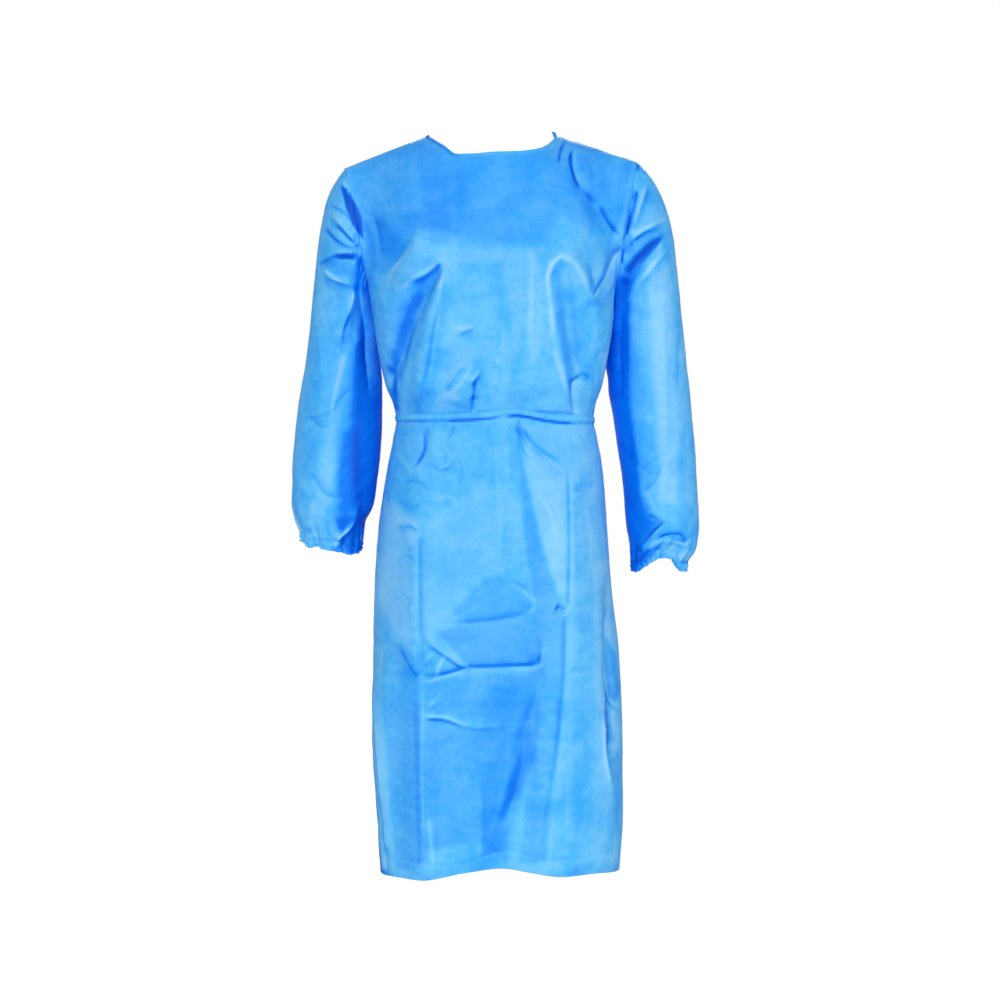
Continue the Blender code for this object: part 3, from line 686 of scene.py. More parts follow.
def bodyPanel(turns, front, choice):
    below, above = choice["rows"]
    levels = np.concatenate([
        np.linspace(gown["hem"], gown["armpit"], below),
        np.linspace(0, 1, above + 1)[1:],
    ])
    turn, level = np.meshgrid(turns, levels)
    ahead = np.abs(np.cos(np.radians(turn)))  # 1 at the centre front and back, 0 at the sides
    over = level > gown["armpit"]
    points = bodyForm(turn, level, front)
    inside = easeIn(np.abs(np.abs(turns) - 90), 0.0, 8.0)[None, :, None]
    near = bell(np.arange(len(levels)), below, above * 0.22)[1:-1, None, None] * inside
    for _ in range(panel["blend"]):
        points[1:-1] += (points[:-2] + points[2:] - 2 * points[1:-1]) * 0.4 * near
    across, height = points[..., 0], points[..., 2]

    # broad folds, flat under the belt, along the edges and under the arms
    drape = foldLift(choice["folds"], across, height)
    drape *= easeIn(ahead, *panel["sideFolds"])
    drape *= 1 - easeIn(np.abs(across), *panel["underArm"]) * easeIn(height, *panel["armHeight"])
    drape *= 1 - panel["atBelt"] * bell(height, gown["beltHeight"], panel["beltReach"])
    drape *= 1 - over * easeIn(level, 0.80, 1.0)
    if choice["lapped"]:
        lap = easeIn(turn, 180 - leftNeckTurn, 180 - gown["innerWrap"] - 2)
        drape += smoothCurve(lapLift[:, 0], lapLift[:, 1], height) * lap

    # creases and crinkles over them
    viewAcross, viewHeight = onView(points, not front)
    fine = creaseLift(choice["creases"], viewAcross, viewHeight)
    fine += crinkles(np.radians(turn) * panel["radius"], height, choice)
    fine *= easeIn(90 - np.abs(turn) if front else np.abs(turn) - 90, 0.0, 7.0)
    fine *= 1 - over * easeIn(level, 0.93, 1.0)
    fine *= 1 - 0.9 * bell(height, gown["beltHeight"], 0.009)
    out = gridNormals(points)
    points = points + out * (drape * gown["drape"])[..., None]
    points = points + gridNormals(points) * (fine * gown["press"])[..., None]

    # painted shade and light: from how the folds turn against a fixed light, then the painted patches and
    # strokes
    shades = paintedReliefTone(out, gridNormals(points), gown["light" if front else "lightBehind"])
    paintedMarks = paintedPatchTone(choice["paintedPatches"], viewAcross, viewHeight)
    paintedMarks += paintedStrokeTone(choice["paintedStrokes"], viewAcross, viewHeight)
    atSide = (1 - easeIn(ahead, *panel["sidePaintedMarks"])) * easeIn(-height, *panel["skirtFrom"])
    return points, shades + paintedMarks * (1 - atSide)


def panelPiece(name, choice, front):
    turns = np.linspace(*choice["turns"])
    points, shades = bodyPanel(turns, front, choice)
    grid, paintedTones = turnedIn(points, shades, hemEdge, seamEdge, seamEdge)
    faces = gridFaces(*grid.shape[:2])
    made = meshPiece(name, grid, faces, gownLook, choice["node"], paintedTones)
    report(made)
    return turns, points, gridNormals(points)


# The tables are in millimetres: (across, height) points, then
#   folds: width, lift, over a path laid on the panel itself
#   creases: lift, width on the low side and on the high side, shares that fade in and out
#   painted patches: tone of painted shade (more is deeper, below 0 a paler painted highlight), softness of
#       the outline
#   painted strokes: tone of painted shade and highlight along a crease, width
frontPanel = {
    "node": "front_panel",
    "flat": (0.66, 1.13),
    "area": 0.66,
    "seed": 21,
    "crinkle": (0.052, 0.0011),  # size and depth
    "turns": (-90, 90, 236),  # first, last and how many columns
    "rows": (310, 88),  # below the armpits and above them
    "lapped": False,
    "folds": (
        (((-108, -470), (-110, -700), (-110, -950), (-108, -1160)), 26, 6),
        (((106, -470), (113, -700), (110, -950), (104, -1160)), 27, 5),
        (((40, -820), (30, -980), (10, -1160)), 42, -9),
        (((178, -660), (180, -800), (180, -930)), 12, -7),
        (((-162, -780), (-164, -950), (-158, -1160)), 18, 7),
        (((-80, -197), (-106, -243), (-130, -290), (-158, -372)), 16, -10),
        (((-77, -200), (-88, -270), (-104, -360), (-110, -425)), 17, 9),
        (((-30, -330), (-48, -400), (-55, -425)), 20, 5),
        (((105, -191), (86, -225), (88, -270), (110, -385)), 15, 2),
        (((110, -245), (125, -300), (132, -380)), 20, -5),
        (((180, -185), (164, -226), (146, -254), (120, -206)), 14, 6),
        (((20, -340), (30, -425)), 22, 1.5),
        (((-110, -130), (-150, -190), (-174, -225)), 18, -5),
        (((118, -60), (150, -120), (185, -160)), 15, -4),
    ),
    "creases": (
        # right chest: the arc from the armpit, the dart and its two edges
        (((-112, -146), (-129, -183), (-145, -203), (-174, -217)), 3, 7, 16, 0.3, 0.3),
        (((-77, -194), (-100, -212), (-142, -231)), 3.4, 5, 4, 0.15, 0.4),
        (((-79, -196), (-105, -242), (-129, -286), (-143, -319), (-154, -351), (-163, -371), (-152, -420)),
          -4.3, 6, 20, 0.1, 0.2),
        (((-77, -196), (-83, -257), (-95, -310), (-102, -360), (-111, -397), (-108, -427)), 1.4, 10, 3.5,
          0.1, 0.25),
        (((-60, -310), (-29, -299)), 2.2, 4, 5, 0.3, 0.4),
        (((-44, -353), (-60, -374), (-75, -397)), 2.6, 6, 4, 0.3, 0.3),
        (((-20, -367), (-38, -388)), 2.2, 5, 4, 0.3, 0.3),
        (((-32, -402), (-33, -434)), -3, 3, 4.5, 0.3, 0.1),
        # left chest: the turned-over U and the V beside it
        (((85, -276), (87, -216), (104, -191), (121, -205), (148, -254)), 1.2, 5, 4, 0.15, 0.15),
        (((197, -172), (172, -223), (150, -256)), -4, 8, 6, 0.2, 0.1),
        (((88, -262), (101, -331), (112, -390), (118, -425)), 1.8, 8, 6, 0.1, 0.3),
        (((106, -262), (120, -320), (128, -382)), -1.1, 12, 20, 0.3, 0.3),
        (((60, -186), (60, -334)), 1.8, 7, 7, 0.3, 0.4),
        (((142, -380), (124, -383), (121, -400), (126, -434)), -3, 4, 5, 0.2, 0.1),
        # left shoulder and the drags towards both armpits
        (((111, -10), (103, -28), (99, -50)), -1.6, 3, 5, 0.3, 0.4),
        (((124, -22), (119, -36), (128, -66), (139, -82)), -3.2, 3, 5, 0.2, 0.4),
        (((143, -88), (170, -128), (198, -164)), -3, 6, 14, 0.3, 0.2),
        (((-105, -30), (-120, -62)), -1.4, 5, 7, 0.3, 0.4),
        (((-190, -118), (-178, -170), (-176, -210)), -2.2, 8, 10, 0.3, 0.3),
        (((-70, -90), (-85, -150)), -1, 14, 18, 0.4, 0.4),
        # drawn in under the belt
        (((35, -440), (46, -465), (57, -488)), -3, 3, 4.5, 0.1, 0.4),
        (((40, -452), (55, -478), (80, -497), (115, -517)), -2.7, 4, 3, 0.15, 0.3),
        (((49, -482), (75, -510), (105, -528)), 2, 4, 4, 0.3, 0.4),
        (((-106, -450), (-107, -490), (-124, -518)), -3.2, 3.5, 6, 0.15, 0.25),
        (((-58, -446), (-66, -470), (-62, -496)), 1.6, 4, 6, 0.2, 0.4),
        (((-60, -492), (-70, -512), (-92, -520)), 1.4, 5, 5, 0.3, 0.4),
        (((-3, -440), (1, -520), (6, -620)), -1.2, 10, 16, 0.2, 0.4),
        (((20, -440), (24, -560)), 1.2, 9, 12, 0.2, 0.5),
        # the pressed creases of the pack, down the skirt
        (((-108, -612), (-112, -700), (-112, -780), (-110, -858)), -3.2, 3, 7.5, 0.12, 0.15),
        (((-111, -860), (-109, -960), (-106, -1070), (-100, -1150)), 1.2, 5, 3, 0.25, 0.02),
        (((-94, -1020), (-88, -1130)), 0.8, 4, 3, 0.3, 0.3),
        (((114, -502), (114, -600), (114, -732)), -1.6, 6, 3, 0.2, 0.05),
        (((108, -740), (106, -842), (98, -940), (82, -1050), (74, -1140)), -1.3, 3, 8, 0.05, 0.3),
        (((93, -732), (112, -738)), -3, 3, 5, 0.2, 0.2),
        (((120, -547), (168, -546)), -1.4, 3, 5, 0.2, 0.4),
        (((12, -560), (30, -700), (56, -716)), 1, 16, 10, 0.3, 0.3),
        (((-146, -611), (-124, -604), (-111, -616)), 2, 4, 4, 0.3, 0.3),
        # and across it
        (((-80, -756), (-14, -752), (60, -738)), -1.6, 12, 4, 0.3, 0.15),
        (((3, -684), (57, -716), (60, -738)), -2, 6, 4.5, 0.3, 0.1),
        (((-105, -776), (-75, -798), (-42, -824)), 2.4, 4.5, 3, 0.1, 0.08),
        (((-42, -824), (20, -822), (71, -820)), -2.2, 5.5, 3, 0.05, 0.12),
        (((71, -822), (74, -796), (71, -770)), -1.6, 3, 5, 0.1, 0.5),
        (((-112, -840), (-75, -834), (-42, -824)), -3, 3, 5, 0.15, 0.08),
        (((-122, -836), (-104, -818), (-90, -800)), 1, 4, 6, 0.2, 0.2),
        (((-106, -899), (-78, -902), (-40, -914), (28, -914)), 1.8, 2.6, 4.5, 0.08, 0.55),
        (((-97, -884), (-78, -862)), 1, 4, 3, 0.2, 0.3),
        (((112, -828), (150, -830)), -1.4, 3, 4, 0.3, 0.4),
        # the broad hollow towards the hem, and what stands beside it
        (((50, -896), (43, -970), (8, -1087)), -2, 12, 16, 0.3, 0.3),
        (((68, -942), (66, -1117)), -2, 10, 10, 0.3, 0.3),
        (((-20, -980), (-20, -1140)), 1.6, 12, 10, 0.4, 0.2),
        # the sides of the skirt
        (((182, -720), (176, -852)), -4.6, 4, 8, 0.3, 0.15),
        (((170, -896), (171, -970), (185, -1029)), 3.4, 6, 5, 0.2, 0.3),
        (((-182, -827), (-170, -960), (-157, -1120)), 3.6, 6, 5, 0.2, 0.1),
        (((-170, -1010), (-160, -1140)), -3, 5, 6, 0.3, 0.02),
        # the turned hem
        (((-150, -1118), (-60, -1128), (10, -1108), (90, -1120), (175, -1112)), -0.4, 1.4, 1.4, 0.1, 0.1),
    ),
    "paintedPatches": (
        (((-219, -54), (-114, -2), (-65, -38), (79, -26), (105, -11), (163, -29), (216, -49), (206, -103),
          (191, -159), (148, -152), (105, -125), (79, -169), (9, -171), (-37, -165), (-83, -152),
          (-117, -146), (-132, -177), (-169, -219), (-188, -214), (-203, -152), (-219, -88)), 0.3, 9),
        (((-200, -137), (-169, -128), (-148, -165), (-128, -169), (-139, -189), (-169, -217),
          (-185, -211)), 0.22, 5),
        (((-37, -38), (71, -42), (40, -103), (25, -159), (-45, -159), (-68, -88)), 0.1, 16),
        (((123, -72), (163, -97), (197, -159), (163, -143), (139, -111)), 0.04, 6),
        (((-171, -223), (-132, -183), (-123, -162), (-83, -174), (9, -176), (79, -177), (52, -199),
          (40, -319), (17, -405), (-83, -408), (-95, -399), (-88, -303), (-77, -211), (-86, -199),
          (-122, -219), (-148, -245)), -0.22, 8),
        (((-82, -203), (-108, -226), (-132, -254), (-123, -266), (-102, -242), (-80, -214)), 0.26, 4),
        (((-114, -246), (-132, -263), (-146, -288), (-159, -322), (-166, -359), (-163, -387), (-151, -411),
          (-142, -414), (-139, -377), (-136, -337), (-129, -297), (-122, -269)), 0.32, 5),
        (((-108, -72), (-60, -54), (-37, -57), (-49, -165), (-99, -180), (-115, -142)), 0.14, 9),
        (((-236, -79), (-225, -88), (-214, -108), (-205, -128), (-202, -162), (-216, -145), (-228, -115)),
          1.35, 2.5),
        (((219, -91), (216, -122), (203, -162), (197, -165), (205, -128), (213, -97)), 0.8, 3),
        (((-191, -251), (-145, -263), (-95, -220), (-126, -285), (-145, -399), (-160, -405), (-176, -326)),
          0.2, 8),
        (((-83, -226), (-105, -266), (-123, -316), (-136, -368), (-140, -417), (-105, -414), (-97, -350),
          (-88, -285)), 0.06, 5),
        (((55, -183), (69, -199), (72, -257), (71, -337), (55, -353), (51, -303), (54, -242)), -0.42, 7),
        (((117, -266), (149, -260), (154, -380), (142, -390), (123, -337)), 0.3, 6),
        (((154, -254), (200, -174), (185, -303), (172, -356), (160, -417), (152, -334)), 0.06, 5),
        (((111, -199), (126, -211), (142, -242), (114, -245), (105, -220)), -0.12, 5),
        (((-211, -180), (-200, -183), (-191, -226), (-182, -280), (-172, -334), (-166, -380), (-179, -387),
          (-191, -319), (-203, -257)), 0.14, 4),
        (((197, -199), (206, -199), (197, -257), (191, -334), (182, -396), (176, -393), (183, -319),
          (188, -257)), 0.28, 3),
        (((123, -26), (148, -38), (160, -97), (142, -88), (129, -60)), 0.2, 5),
        (((-52, -203), (9, -199), (28, -303), (-37, -326), (-68, -273)), 0.26, 12),
        (((-83, -326), (32, -319), (32, -403), (-68, -411)), 0.12, 8),
        (((99, -211), (111, -208), (125, -303), (136, -377), (123, -383), (108, -303)), -0.32, 3),
        (((-131, -634), (-119, -634), (-115, -788), (-128, -788)), 0.22, 3),
        (((120, -488), (163, -488), (172, -627), (129, -658)), -0.14, 8),
        (((55, -1027), (105, -1027), (111, -1123), (55, -1123)), 0.12, 8),
        (((40, -457), (114, -519), (112, -704), (99, -710), (72, -627), (48, -519)), -0.42, 6),
        (((34, -448), (157, -448), (166, -534), (176, -658), (180, -753), (117, -738), (115, -519)), -0.22,
          7),
        (((34, -454), (46, -519), (80, -658), (106, -738), (111, -741), (109, -842), (99, -938),
          (80, -1123), (40, -1126), (49, -1027), (62, -935), (72, -824), (65, -738), (52, -658),
          (40, -534)), 0.34, 5),
        (((-109, -611), (-65, -565), (-18, -537), (40, -565), (52, -658), (9, -679), (-18, -685),
          (-65, -735), (-102, -775), (-109, -719)), -0.18, 6),
        (((-86, -768), (-43, -753), (65, -739), (72, -819), (-40, -821)), 0.32, 4),
        (((-18, -688), (9, -682), (65, -727), (65, -738), (-46, -752), (-65, -738)), 0.18, 5),
        (((-106, -845), (-40, -825), (72, -824), (55, -907), (-37, -916), (-106, -899)), 0.22, 4),
        (((-105, -907), (-37, -919), (49, -910), (9, -1012), (-12, -1092), (-99, -1104), (-106, -966)),
          0.24, 5),
        (((65, -858), (72, -898), (62, -966), (40, -1027), (17, -1033), (28, -953), (43, -892)), 0.44, 8),
        (((95, -873), (114, -873), (105, -1120), (89, -1120)), 0.22, 4),
        (((-122, -873), (-108, -873), (-100, -1120), (-115, -1120)), 0.26, 3),
        (((-169, -359), (-154, -380), (-145, -427), (-154, -427), (-163, -399)), 0.75, 4),
        (((-114, -405), (-31, -399), (-28, -430), (-108, -433)), -0.28, 5),
        (((-108, -103), (-68, -103), (-65, -180), (-102, -180)), 0.15, 8),
        (((-122, -11), (-75, -26), (-75, -88), (-114, -88)), 0.12, 10),
        (((95, -2), (163, -20), (160, -32), (117, -20)), 0.28, 4),
        (((165, -337), (177, -337), (177, -387), (166, -387)), -0.5, 3),
        (((52, -804), (77, -804), (80, -836), (55, -836)), 0.24, 5),
        (((55, -916), (37, -972), (6, -1033), (-18, -1107), (17, -1123), (37, -1033), (62, -959)), 0.42,
          12),
        (((-145, -784), (-112, -812), (-109, -1132), (-148, -1132), (-162, -935), (-169, -796)), 0.26, 4),
        (((-185, -787), (-169, -799), (-162, -935), (-148, -1135), (-166, -1135), (-179, -981)), -0.14, 3),
        (((-179, -981), (-168, -1132), (-151, -1141), (-176, -1144)), 0.95, 3),
        (((-169, -565), (-114, -599), (-114, -781), (-148, -781), (-182, -719)), -0.44, 9),
        (((114, -756), (169, -781), (171, -966), (182, -1015), (192, -1123), (80, -1126), (99, -941),
          (111, -858)), -0.16, 5),
        (((151, -658), (180, -658), (182, -889), (159, -889)), -0.3, 5),
        (((183, -775), (192, -805), (196, -855), (191, -876), (183, -867), (180, -818)), 0.8, 3),
        (((172, -861), (182, -882), (196, -966), (196, -1120), (183, -1015), (172, -959)), 0.12, 4),
        (((174, -864), (183, -879), (189, -935), (179, -941)), 0.28, 3),
        (((-145, -442), (-106, -442), (-108, -488), (-126, -519), (-139, -531), (-148, -488)), 0.14, 6),
    ),
    "paintedStrokes": (
        (((119, -26), (120, -48), (126, -69), (136, -85)), 0.85, 2.3),
        (((111, -9), (103, -26), (99, -48)), 0.42, 2.6),
        (((97, 0), (125, -11), (163, -25), (194, -34), (217, -42)), 0.75, 1.8),
        (((-213, -48), (-176, -31), (-112, 0)), 0.45, 1.6),
        (((165, -109), (177, -134), (197, -162)), 0.85, 2.8),
        (((136, -85), (165, -109)), 0.35, 3),
        (((91, -326), (86, -257), (85, -205), (94, -194), (106, -189), (119, -197), (129, -213),
          (139, -237), (148, -257)), -0.75, 3.2),
        (((91, -326), (102, -368), (114, -402)), -0.55, 3.2),
        (((148, -260), (169, -220), (197, -174)), -0.65, 3),
        (((106, -266), (114, -334), (126, -377)), 0.22, 2.4),
        (((126, -377), (142, -371), (148, -380)), 0.8, 2),
        (((-79, -211), (-83, -273), (-92, -337), (-100, -399)), -0.46, 3.4),
        (((-86, -199), (-117, -217), (-145, -242)), -0.55, 3),
        (((-126, -165), (-142, -192), (-166, -219)), -0.5, 3.4),
        (((-60, -300), (-28, -297)), -0.5, 3),
        (((-31, -353), (-52, -387), (-74, -405)), -0.4, 2.6),
        (((-154, -443), (-99, -443), (-60, -442), (-12, -440)), 0.7, 1.9),
        (((-74, -443), (-37, -442), (-12, -440), (14, -436)), 1.1, 2),
        (((14, -437), (34, -435), (55, -438), (79, -443), (102, -446), (132, -447)), 1.5, 2.2),
        (((125, -447), (166, -447)), 0.5, 1.8),
        (((59, -428), (83, -430), (105, -430), (132, -433)), 0.75, 1.9),
        (((-83, -431), (-37, -430), (9, -425)), 0.35, 1.6),
        (((35, -442), (49, -460), (66, -482), (89, -500), (112, -519)), 0.55, 2),
        (((46, -457), (68, -491), (89, -513), (111, -530)), 0.28, 2),
        (((34, -448), (42, -480), (55, -507)), 0.5, 2.2),
        (((-108, -457), (-108, -491), (-125, -519)), 0.7, 2.6),
        (((-60, -450), (-71, -473)), 0.5, 2.2),
        (((-29, -377), (-32, -408), (-31, -430)), 0.65, 2.4),
        (((-139, -534), (-108, -541), (-95, -556)), 0.4, 2.8),
        (((-148, -608), (-126, -605), (-112, -614)), 0.4, 2.4),
        (((-99, -507), (-83, -519), (-65, -516)), 0.35, 2),
        (((-60, -496), (-49, -519), (-55, -544)), 0.3, 2.2),
        (((-148, -562), (-129, -576), (-108, -573)), 0.35, 2),
        (((-149, -658), (-132, -651), (-115, -661)), 0.3, 2),
        (((-89, -565), (-68, -559), (-55, -571)), -0.3, 2.2),
        (((-43, -519), (-25, -528), (-9, -525)), 0.28, 2),
        (((-142, -704), (-129, -719), (-132, -744)), 0.3, 2.2),
        (((-83, -482), (-74, -496), (-77, -513)), 0.3, 2),
        (((-148, -488), (-139, -507), (-120, -525)), -0.35, 2.2),
        (((71, -556), (89, -596), (95, -639)), -0.3, 2.4),
        (((139, -565), (148, -627), (145, -688)), -0.25, 2.4),
        (((-6, -350), (9, -368), (6, -390)), 0.25, 2.2),
        (((9, -282), (15, -313), (9, -337)), -0.25, 2.4),
        (((-112, -614), (-112, -719), (-112, -790)), 0.5, 2.4),
        (((114, -522), (114, -627), (112, -728)), 0.5, 2.2),
        (((89, -738), (114, -738)), 0.35, 1.8),
        (((-49, -753), (9, -747), (66, -739)), 0.12, 2),
        (((9, -682), (40, -701), (65, -725)), -0.35, 2.2),
        (((-103, -781), (-72, -804), (-43, -824)), -0.78, 2.6),
        (((-100, -788), (-74, -808), (-49, -825)), 0.75, 2.2),
        (((-40, -824), (17, -822), (71, -819)), 0.4, 2),
        (((-106, -842), (-71, -832), (-43, -825)), 0.6, 2.2),
        (((-106, -847), (-71, -836), (-43, -830)), -0.45, 2.2),
        (((-89, -836), (-83, -818), (-74, -805)), -0.7, 2.6),
        (((-108, -898), (-77, -899), (-55, -907), (-37, -916)), -0.7, 2.2),
        (((-106, -902), (-77, -904), (-52, -913)), 0.4, 1.8),
        (((-99, -882), (-77, -869)), -0.45, 2.4),
        (((-145, -790), (-126, -821), (-112, -842)), 0.45, 2.2),
        (((-108, -858), (-108, -966), (-105, -1089)), -0.3, 1.8),
        (((-99, -1050), (-92, -1135)), -0.5, 2),
        (((172, -858), (169, -919), (171, -966), (183, -1018)), -0.75, 2.6),
        (((172, -858), (185, -879), (194, -892)), 0.8, 2.2),
        (((114, -550), (163, -548)), 0.35, 1.8),
        (((102, -830), (151, -830)), 0.3, 1.8),
    ),
}

frontTurns, frontGrid, frontOut = panelPiece("frontPanel", frontPanel, True)

# the same pack creases lie over both back panels
backFolds = (
    (((-118, -460), (-128, -750), (-122, -1160)), 28, 10),
    (((112, -460), (126, -800), (128, -1160)), 30, 10),
    (((-45, -620), (-35, -900), (-45, -1160)), 36, -12),
    (((66, -190), (90, -300), (104, -425)), 18, 8),
    (((-120, -180), (-110, -300), (-100, -425)), 18, 7),
    (((130, -250), (140, -380)), 18, -7),
    (((10, -260), (2, -425)), 22, -7),
)
backCreases = (
    (((-112, -500), (-116, -700), (-112, -930), (-104, -1140)), -3, 3, 8, 0.15, 0.1),
    (((108, -520), (112, -760), (112, -960), (106, -1140)), -3.2, 8, 3, 0.15, 0.1),
    (((20, -640), (70, -650), (110, -646)), -3, 5, 3, 0.15, 0.25),
    (((-110, -655), (-70, -640), (-30, -642)), -2.6, 3, 5, 0.1, 0.3),
    (((10, -862), (60, -870), (112, -856)), -3.4, 5, 3, 0.2, 0.2),
    (((-112, -880), (-66, -870), (-32, -874)), 2.8, 4, 3, 0.1, 0.3),
    (((-104, -884), (-80, -930), (-50, -956)), 3, 5, 3, 0.2, 0.4),
    (((30, -905), (62, -948), (100, -962)), 2.8, 4, 3, 0.2, 0.4),
    # drawn in round the belt
    (((26, -452), (44, -478), (74, -502), (112, -526)), -3.4, 4, 6, 0.1, 0.4),
    (((66, -450), (70, -510)), -2.6, 4, 6, 0.1, 0.5),
    (((-44, -452), (-50, -480), (-70, -500)), -2.6, 4, 5, 0.1, 0.4),
    (((-86, -450), (-90, -496)), -2.4, 4, 6, 0.1, 0.5),
    (((34, -436), (30, -402), (44, -372)), -2.6, 5, 7, 0.1, 0.4),
    (((-62, -436), (-66, -414), (-58, -398)), -2.4, 5, 7, 0.1, 0.4),
    (((90, -434), (112, -380)), -2.4, 4, 6, 0.1, 0.4),
    # the drags towards the armpits and off the shoulders
    (((92, -128), (128, -166), (172, -196)), 2.8, 9, 6, 0.3, 0.2),
    (((176, -214), (140, -236), (122, -262), (110, -330)), -3.8, 7, 12, 0.15, 0.3),
    (((-98, -150), (-130, -176), (-176, -196)), 2.4, 9, 6, 0.4, 0.2),
    (((-178, -218), (-134, -226), (-104, -250)), -3, 8, 7, 0.15, 0.4),
    (((112, -30), (128, -70)), -2.4, 4, 5, 0.2, 0.4),
    (((-116, -34), (-132, -78)), -2.4, 4, 5, 0.2, 0.4),
    (((176, -800), (170, -940), (180, -1060)), 3.4, 6, 5, 0.2, 0.3),
    (((-178, -760), (-168, -900), (-174, -1040)), -3.4, 6, 5, 0.2, 0.3),
    (((-150, -1116), (0, -1122), (160, -1112)), -0.6, 1.4, 1.4, 0.05, 0.05),
)
# painted shade and highlights, the same over both back panels
backPaintedPatches = (
    (((-219, -54), (-114, -2), (-65, -20), (71, -20), (163, -29), (216, -49), (206, -103), (191, -159),
      (148, -143), (95, -152), (40, -171), (-37, -165), (-99, -159), (-132, -177), (-169, -219),
      (-197, -199), (-213, -119)), 0.3, 9),
    (((-60, -26), (63, -26), (52, -72), (9, -97), (-43, -82)), 0.22, 10),
    (((-236, -79), (-225, -88), (-214, -108), (-205, -128), (-202, -162), (-216, -145), (-228, -115)), 1.1,
      2.5),
    (((219, -91), (216, -122), (203, -162), (197, -165), (205, -128), (213, -97)), 0.9, 3),
    (((-160, -199), (-114, -165), (-59, -174), (-49, -257), (-65, -368), (-114, -417), (-148, -380),
      (-157, -288)), -0.32, 10),
    (((34, -180), (102, -165), (163, -189), (172, -288), (151, -390), (83, -417), (40, -350), (25, -257)),
      -0.3, 10),
    (((-37, -180), (18, -180), (22, -303), (9, -430), (-25, -430), (-43, -319)), 0.3, 8),
    (((-86, -257), (-74, -263), (-86, -334), (-89, -423), (-108, -427), (-108, -350)), 0.7, 4),
    (((83, -251), (95, -257), (111, -334), (120, -423), (102, -423), (95, -334)), 0.6, 4),
    (((-188, -242), (-163, -257), (-151, -334), (-145, -417), (-163, -411), (-179, -334)), 0.35, 6),
    (((182, -226), (197, -242), (179, -334), (166, -417), (154, -411), (163, -319)), 0.35, 6),
    (((-151, -457), (-108, -457), (-108, -781), (-145, -781), (-157, -596)), 0.12, 7),
    (((-108, -457), (-37, -454), (-31, -596), (-49, -639), (-108, -639)), -0.26, 7),
    (((-108, -639), (-49, -639), (-12, -704), (-37, -738), (-108, -762)), 0.18, 6),
    (((-83, -457), (-65, -457), (-59, -627), (-71, -873), (-74, -1132), (-95, -1132), (-92, -873),
      (-83, -658)), 0.3, 6),
    (((-28, -457), (9, -454), (22, -596), (9, -738), (-22, -738), (-31, -596)), 0.34, 6),
    (((9, -454), (111, -457), (114, -565), (83, -645), (22, -627)), -0.34, 8),
    (((22, -627), (83, -645), (114, -667), (112, -735), (9, -741)), 0.2, 5),
    (((114, -457), (166, -460), (179, -627), (182, -750), (114, -738)), -0.14, 7),
    (((-108, -781), (-37, -750), (111, -741), (111, -818), (-37, -824), (-108, -842)), 0.24, 4),
    (((-108, -845), (-37, -827), (40, -824), (28, -907), (-37, -913), (-108, -901)), -0.24, 5),
    (((40, -824), (111, -821), (111, -904), (28, -907)), 0.26, 5),
    (((-40, -916), (3, -916), (9, -1012), (22, -1132), (-31, -1132), (-37, -1027)), 0.42, 9),
    (((-108, -907), (-40, -916), (-37, -1027), (-31, -1129), (-105, -1132)), 0.12, 6),
    (((12, -919), (102, -907), (95, -1027), (83, -1129), (28, -1129)), -0.26, 8),
    (((114, -750), (169, -781), (182, -1015), (192, -1123), (105, -1129), (111, -858)), 0.14, 6),
    (((-179, -796), (-148, -796), (-139, -966), (-129, -1132), (-169, -1132), (-182, -981)), -0.28, 5),
)
backPaintedStrokes = (
    (((-108, -457), (-108, -658), (-111, -790)), 0.4, 2.2),
    (((112, -460), (114, -658), (111, -738)), 0.4, 2.2),
    (((-108, -790), (-109, -966), (-102, -1132)), -0.35, 2.2),
    (((111, -781), (111, -966), (102, -1129)), 0.35, 2.2),
    (((-108, -781), (-74, -762), (-37, -750)), -0.75, 2.4),
    (((-108, -787), (-71, -768), (-37, -756)), 0.65, 2.2),
    (((-37, -750), (40, -744), (111, -739)), 0.45, 2.2),
    (((-108, -844), (-68, -833), (-37, -825)), 0.6, 2.2),
    (((-108, -849), (-68, -838), (-37, -830)), -0.45, 2.2),
    (((-37, -825), (40, -822), (111, -819)), 0.6, 2),
    (((-108, -901), (-68, -906), (-40, -915)), -0.6, 2.4),
    (((-40, -915), (9, -915), (102, -906)), 0.4, 2.2),
    (((26, -450), (45, -477), (74, -502), (112, -525)), 0.9, 2.2),
    (((34, -448), (55, -476), (83, -494), (117, -510)), -0.5, 2.2),
    (((-43, -450), (-49, -479), (-71, -500)), 0.6, 2.4),
    (((34, -436), (31, -402), (43, -371)), 0.55, 2.6),
    (((-62, -436), (-66, -414), (-59, -396)), 0.5, 2.4),
    (((71, -433), (89, -408), (111, -390)), 0.45, 2.2),
    (((91, -128), (128, -166), (172, -197)), -0.6, 3.2),
    (((176, -214), (142, -236), (123, -263), (111, -328)), 0.55, 3.4),
    (((179, -205), (139, -226), (117, -257)), -0.55, 2.8),
    (((-99, -149), (-129, -176), (-176, -197)), -0.5, 3),
    (((-177, -219), (-134, -226), (-105, -251)), 0.55, 3),
    (((-154, -390), (-126, -368), (-108, -334)), -0.5, 2.8),
    (((-126, -23), (-132, -51), (-126, -75)), 0.45, 2.6),
    (((123, -26), (129, -51), (145, -75)), 0.6, 2.6),
    (((-37, -473), (-22, -565), (-28, -658)), -0.5, 2.6),
    (((182, -781), (172, -919), (182, -1027)), -0.6, 2.6),
    (((-176, -812), (-166, -919), (-172, -1027)), 0.5, 2.6),
    (((9, -651), (55, -639), (89, -651)), -0.4, 2.2),
    (((-89, -596), (-65, -584), (-43, -593)), 0.4, 2.2),
)
backLeft = {
    "node": "back_panel_left",
    "flat": (0.47, 1.13),
    "area": 0.45,
    "seed": 31,
    "crinkle": (0.055, 0.0012),
    "turns": (90, 180 + gown["outerWrap"], 170),
    "rows": (262, 70),
    "lapped": True,
    "folds": backFolds,
    "creases": backCreases,
    "paintedPatches": backPaintedPatches,
    "paintedStrokes": backPaintedStrokes,
}
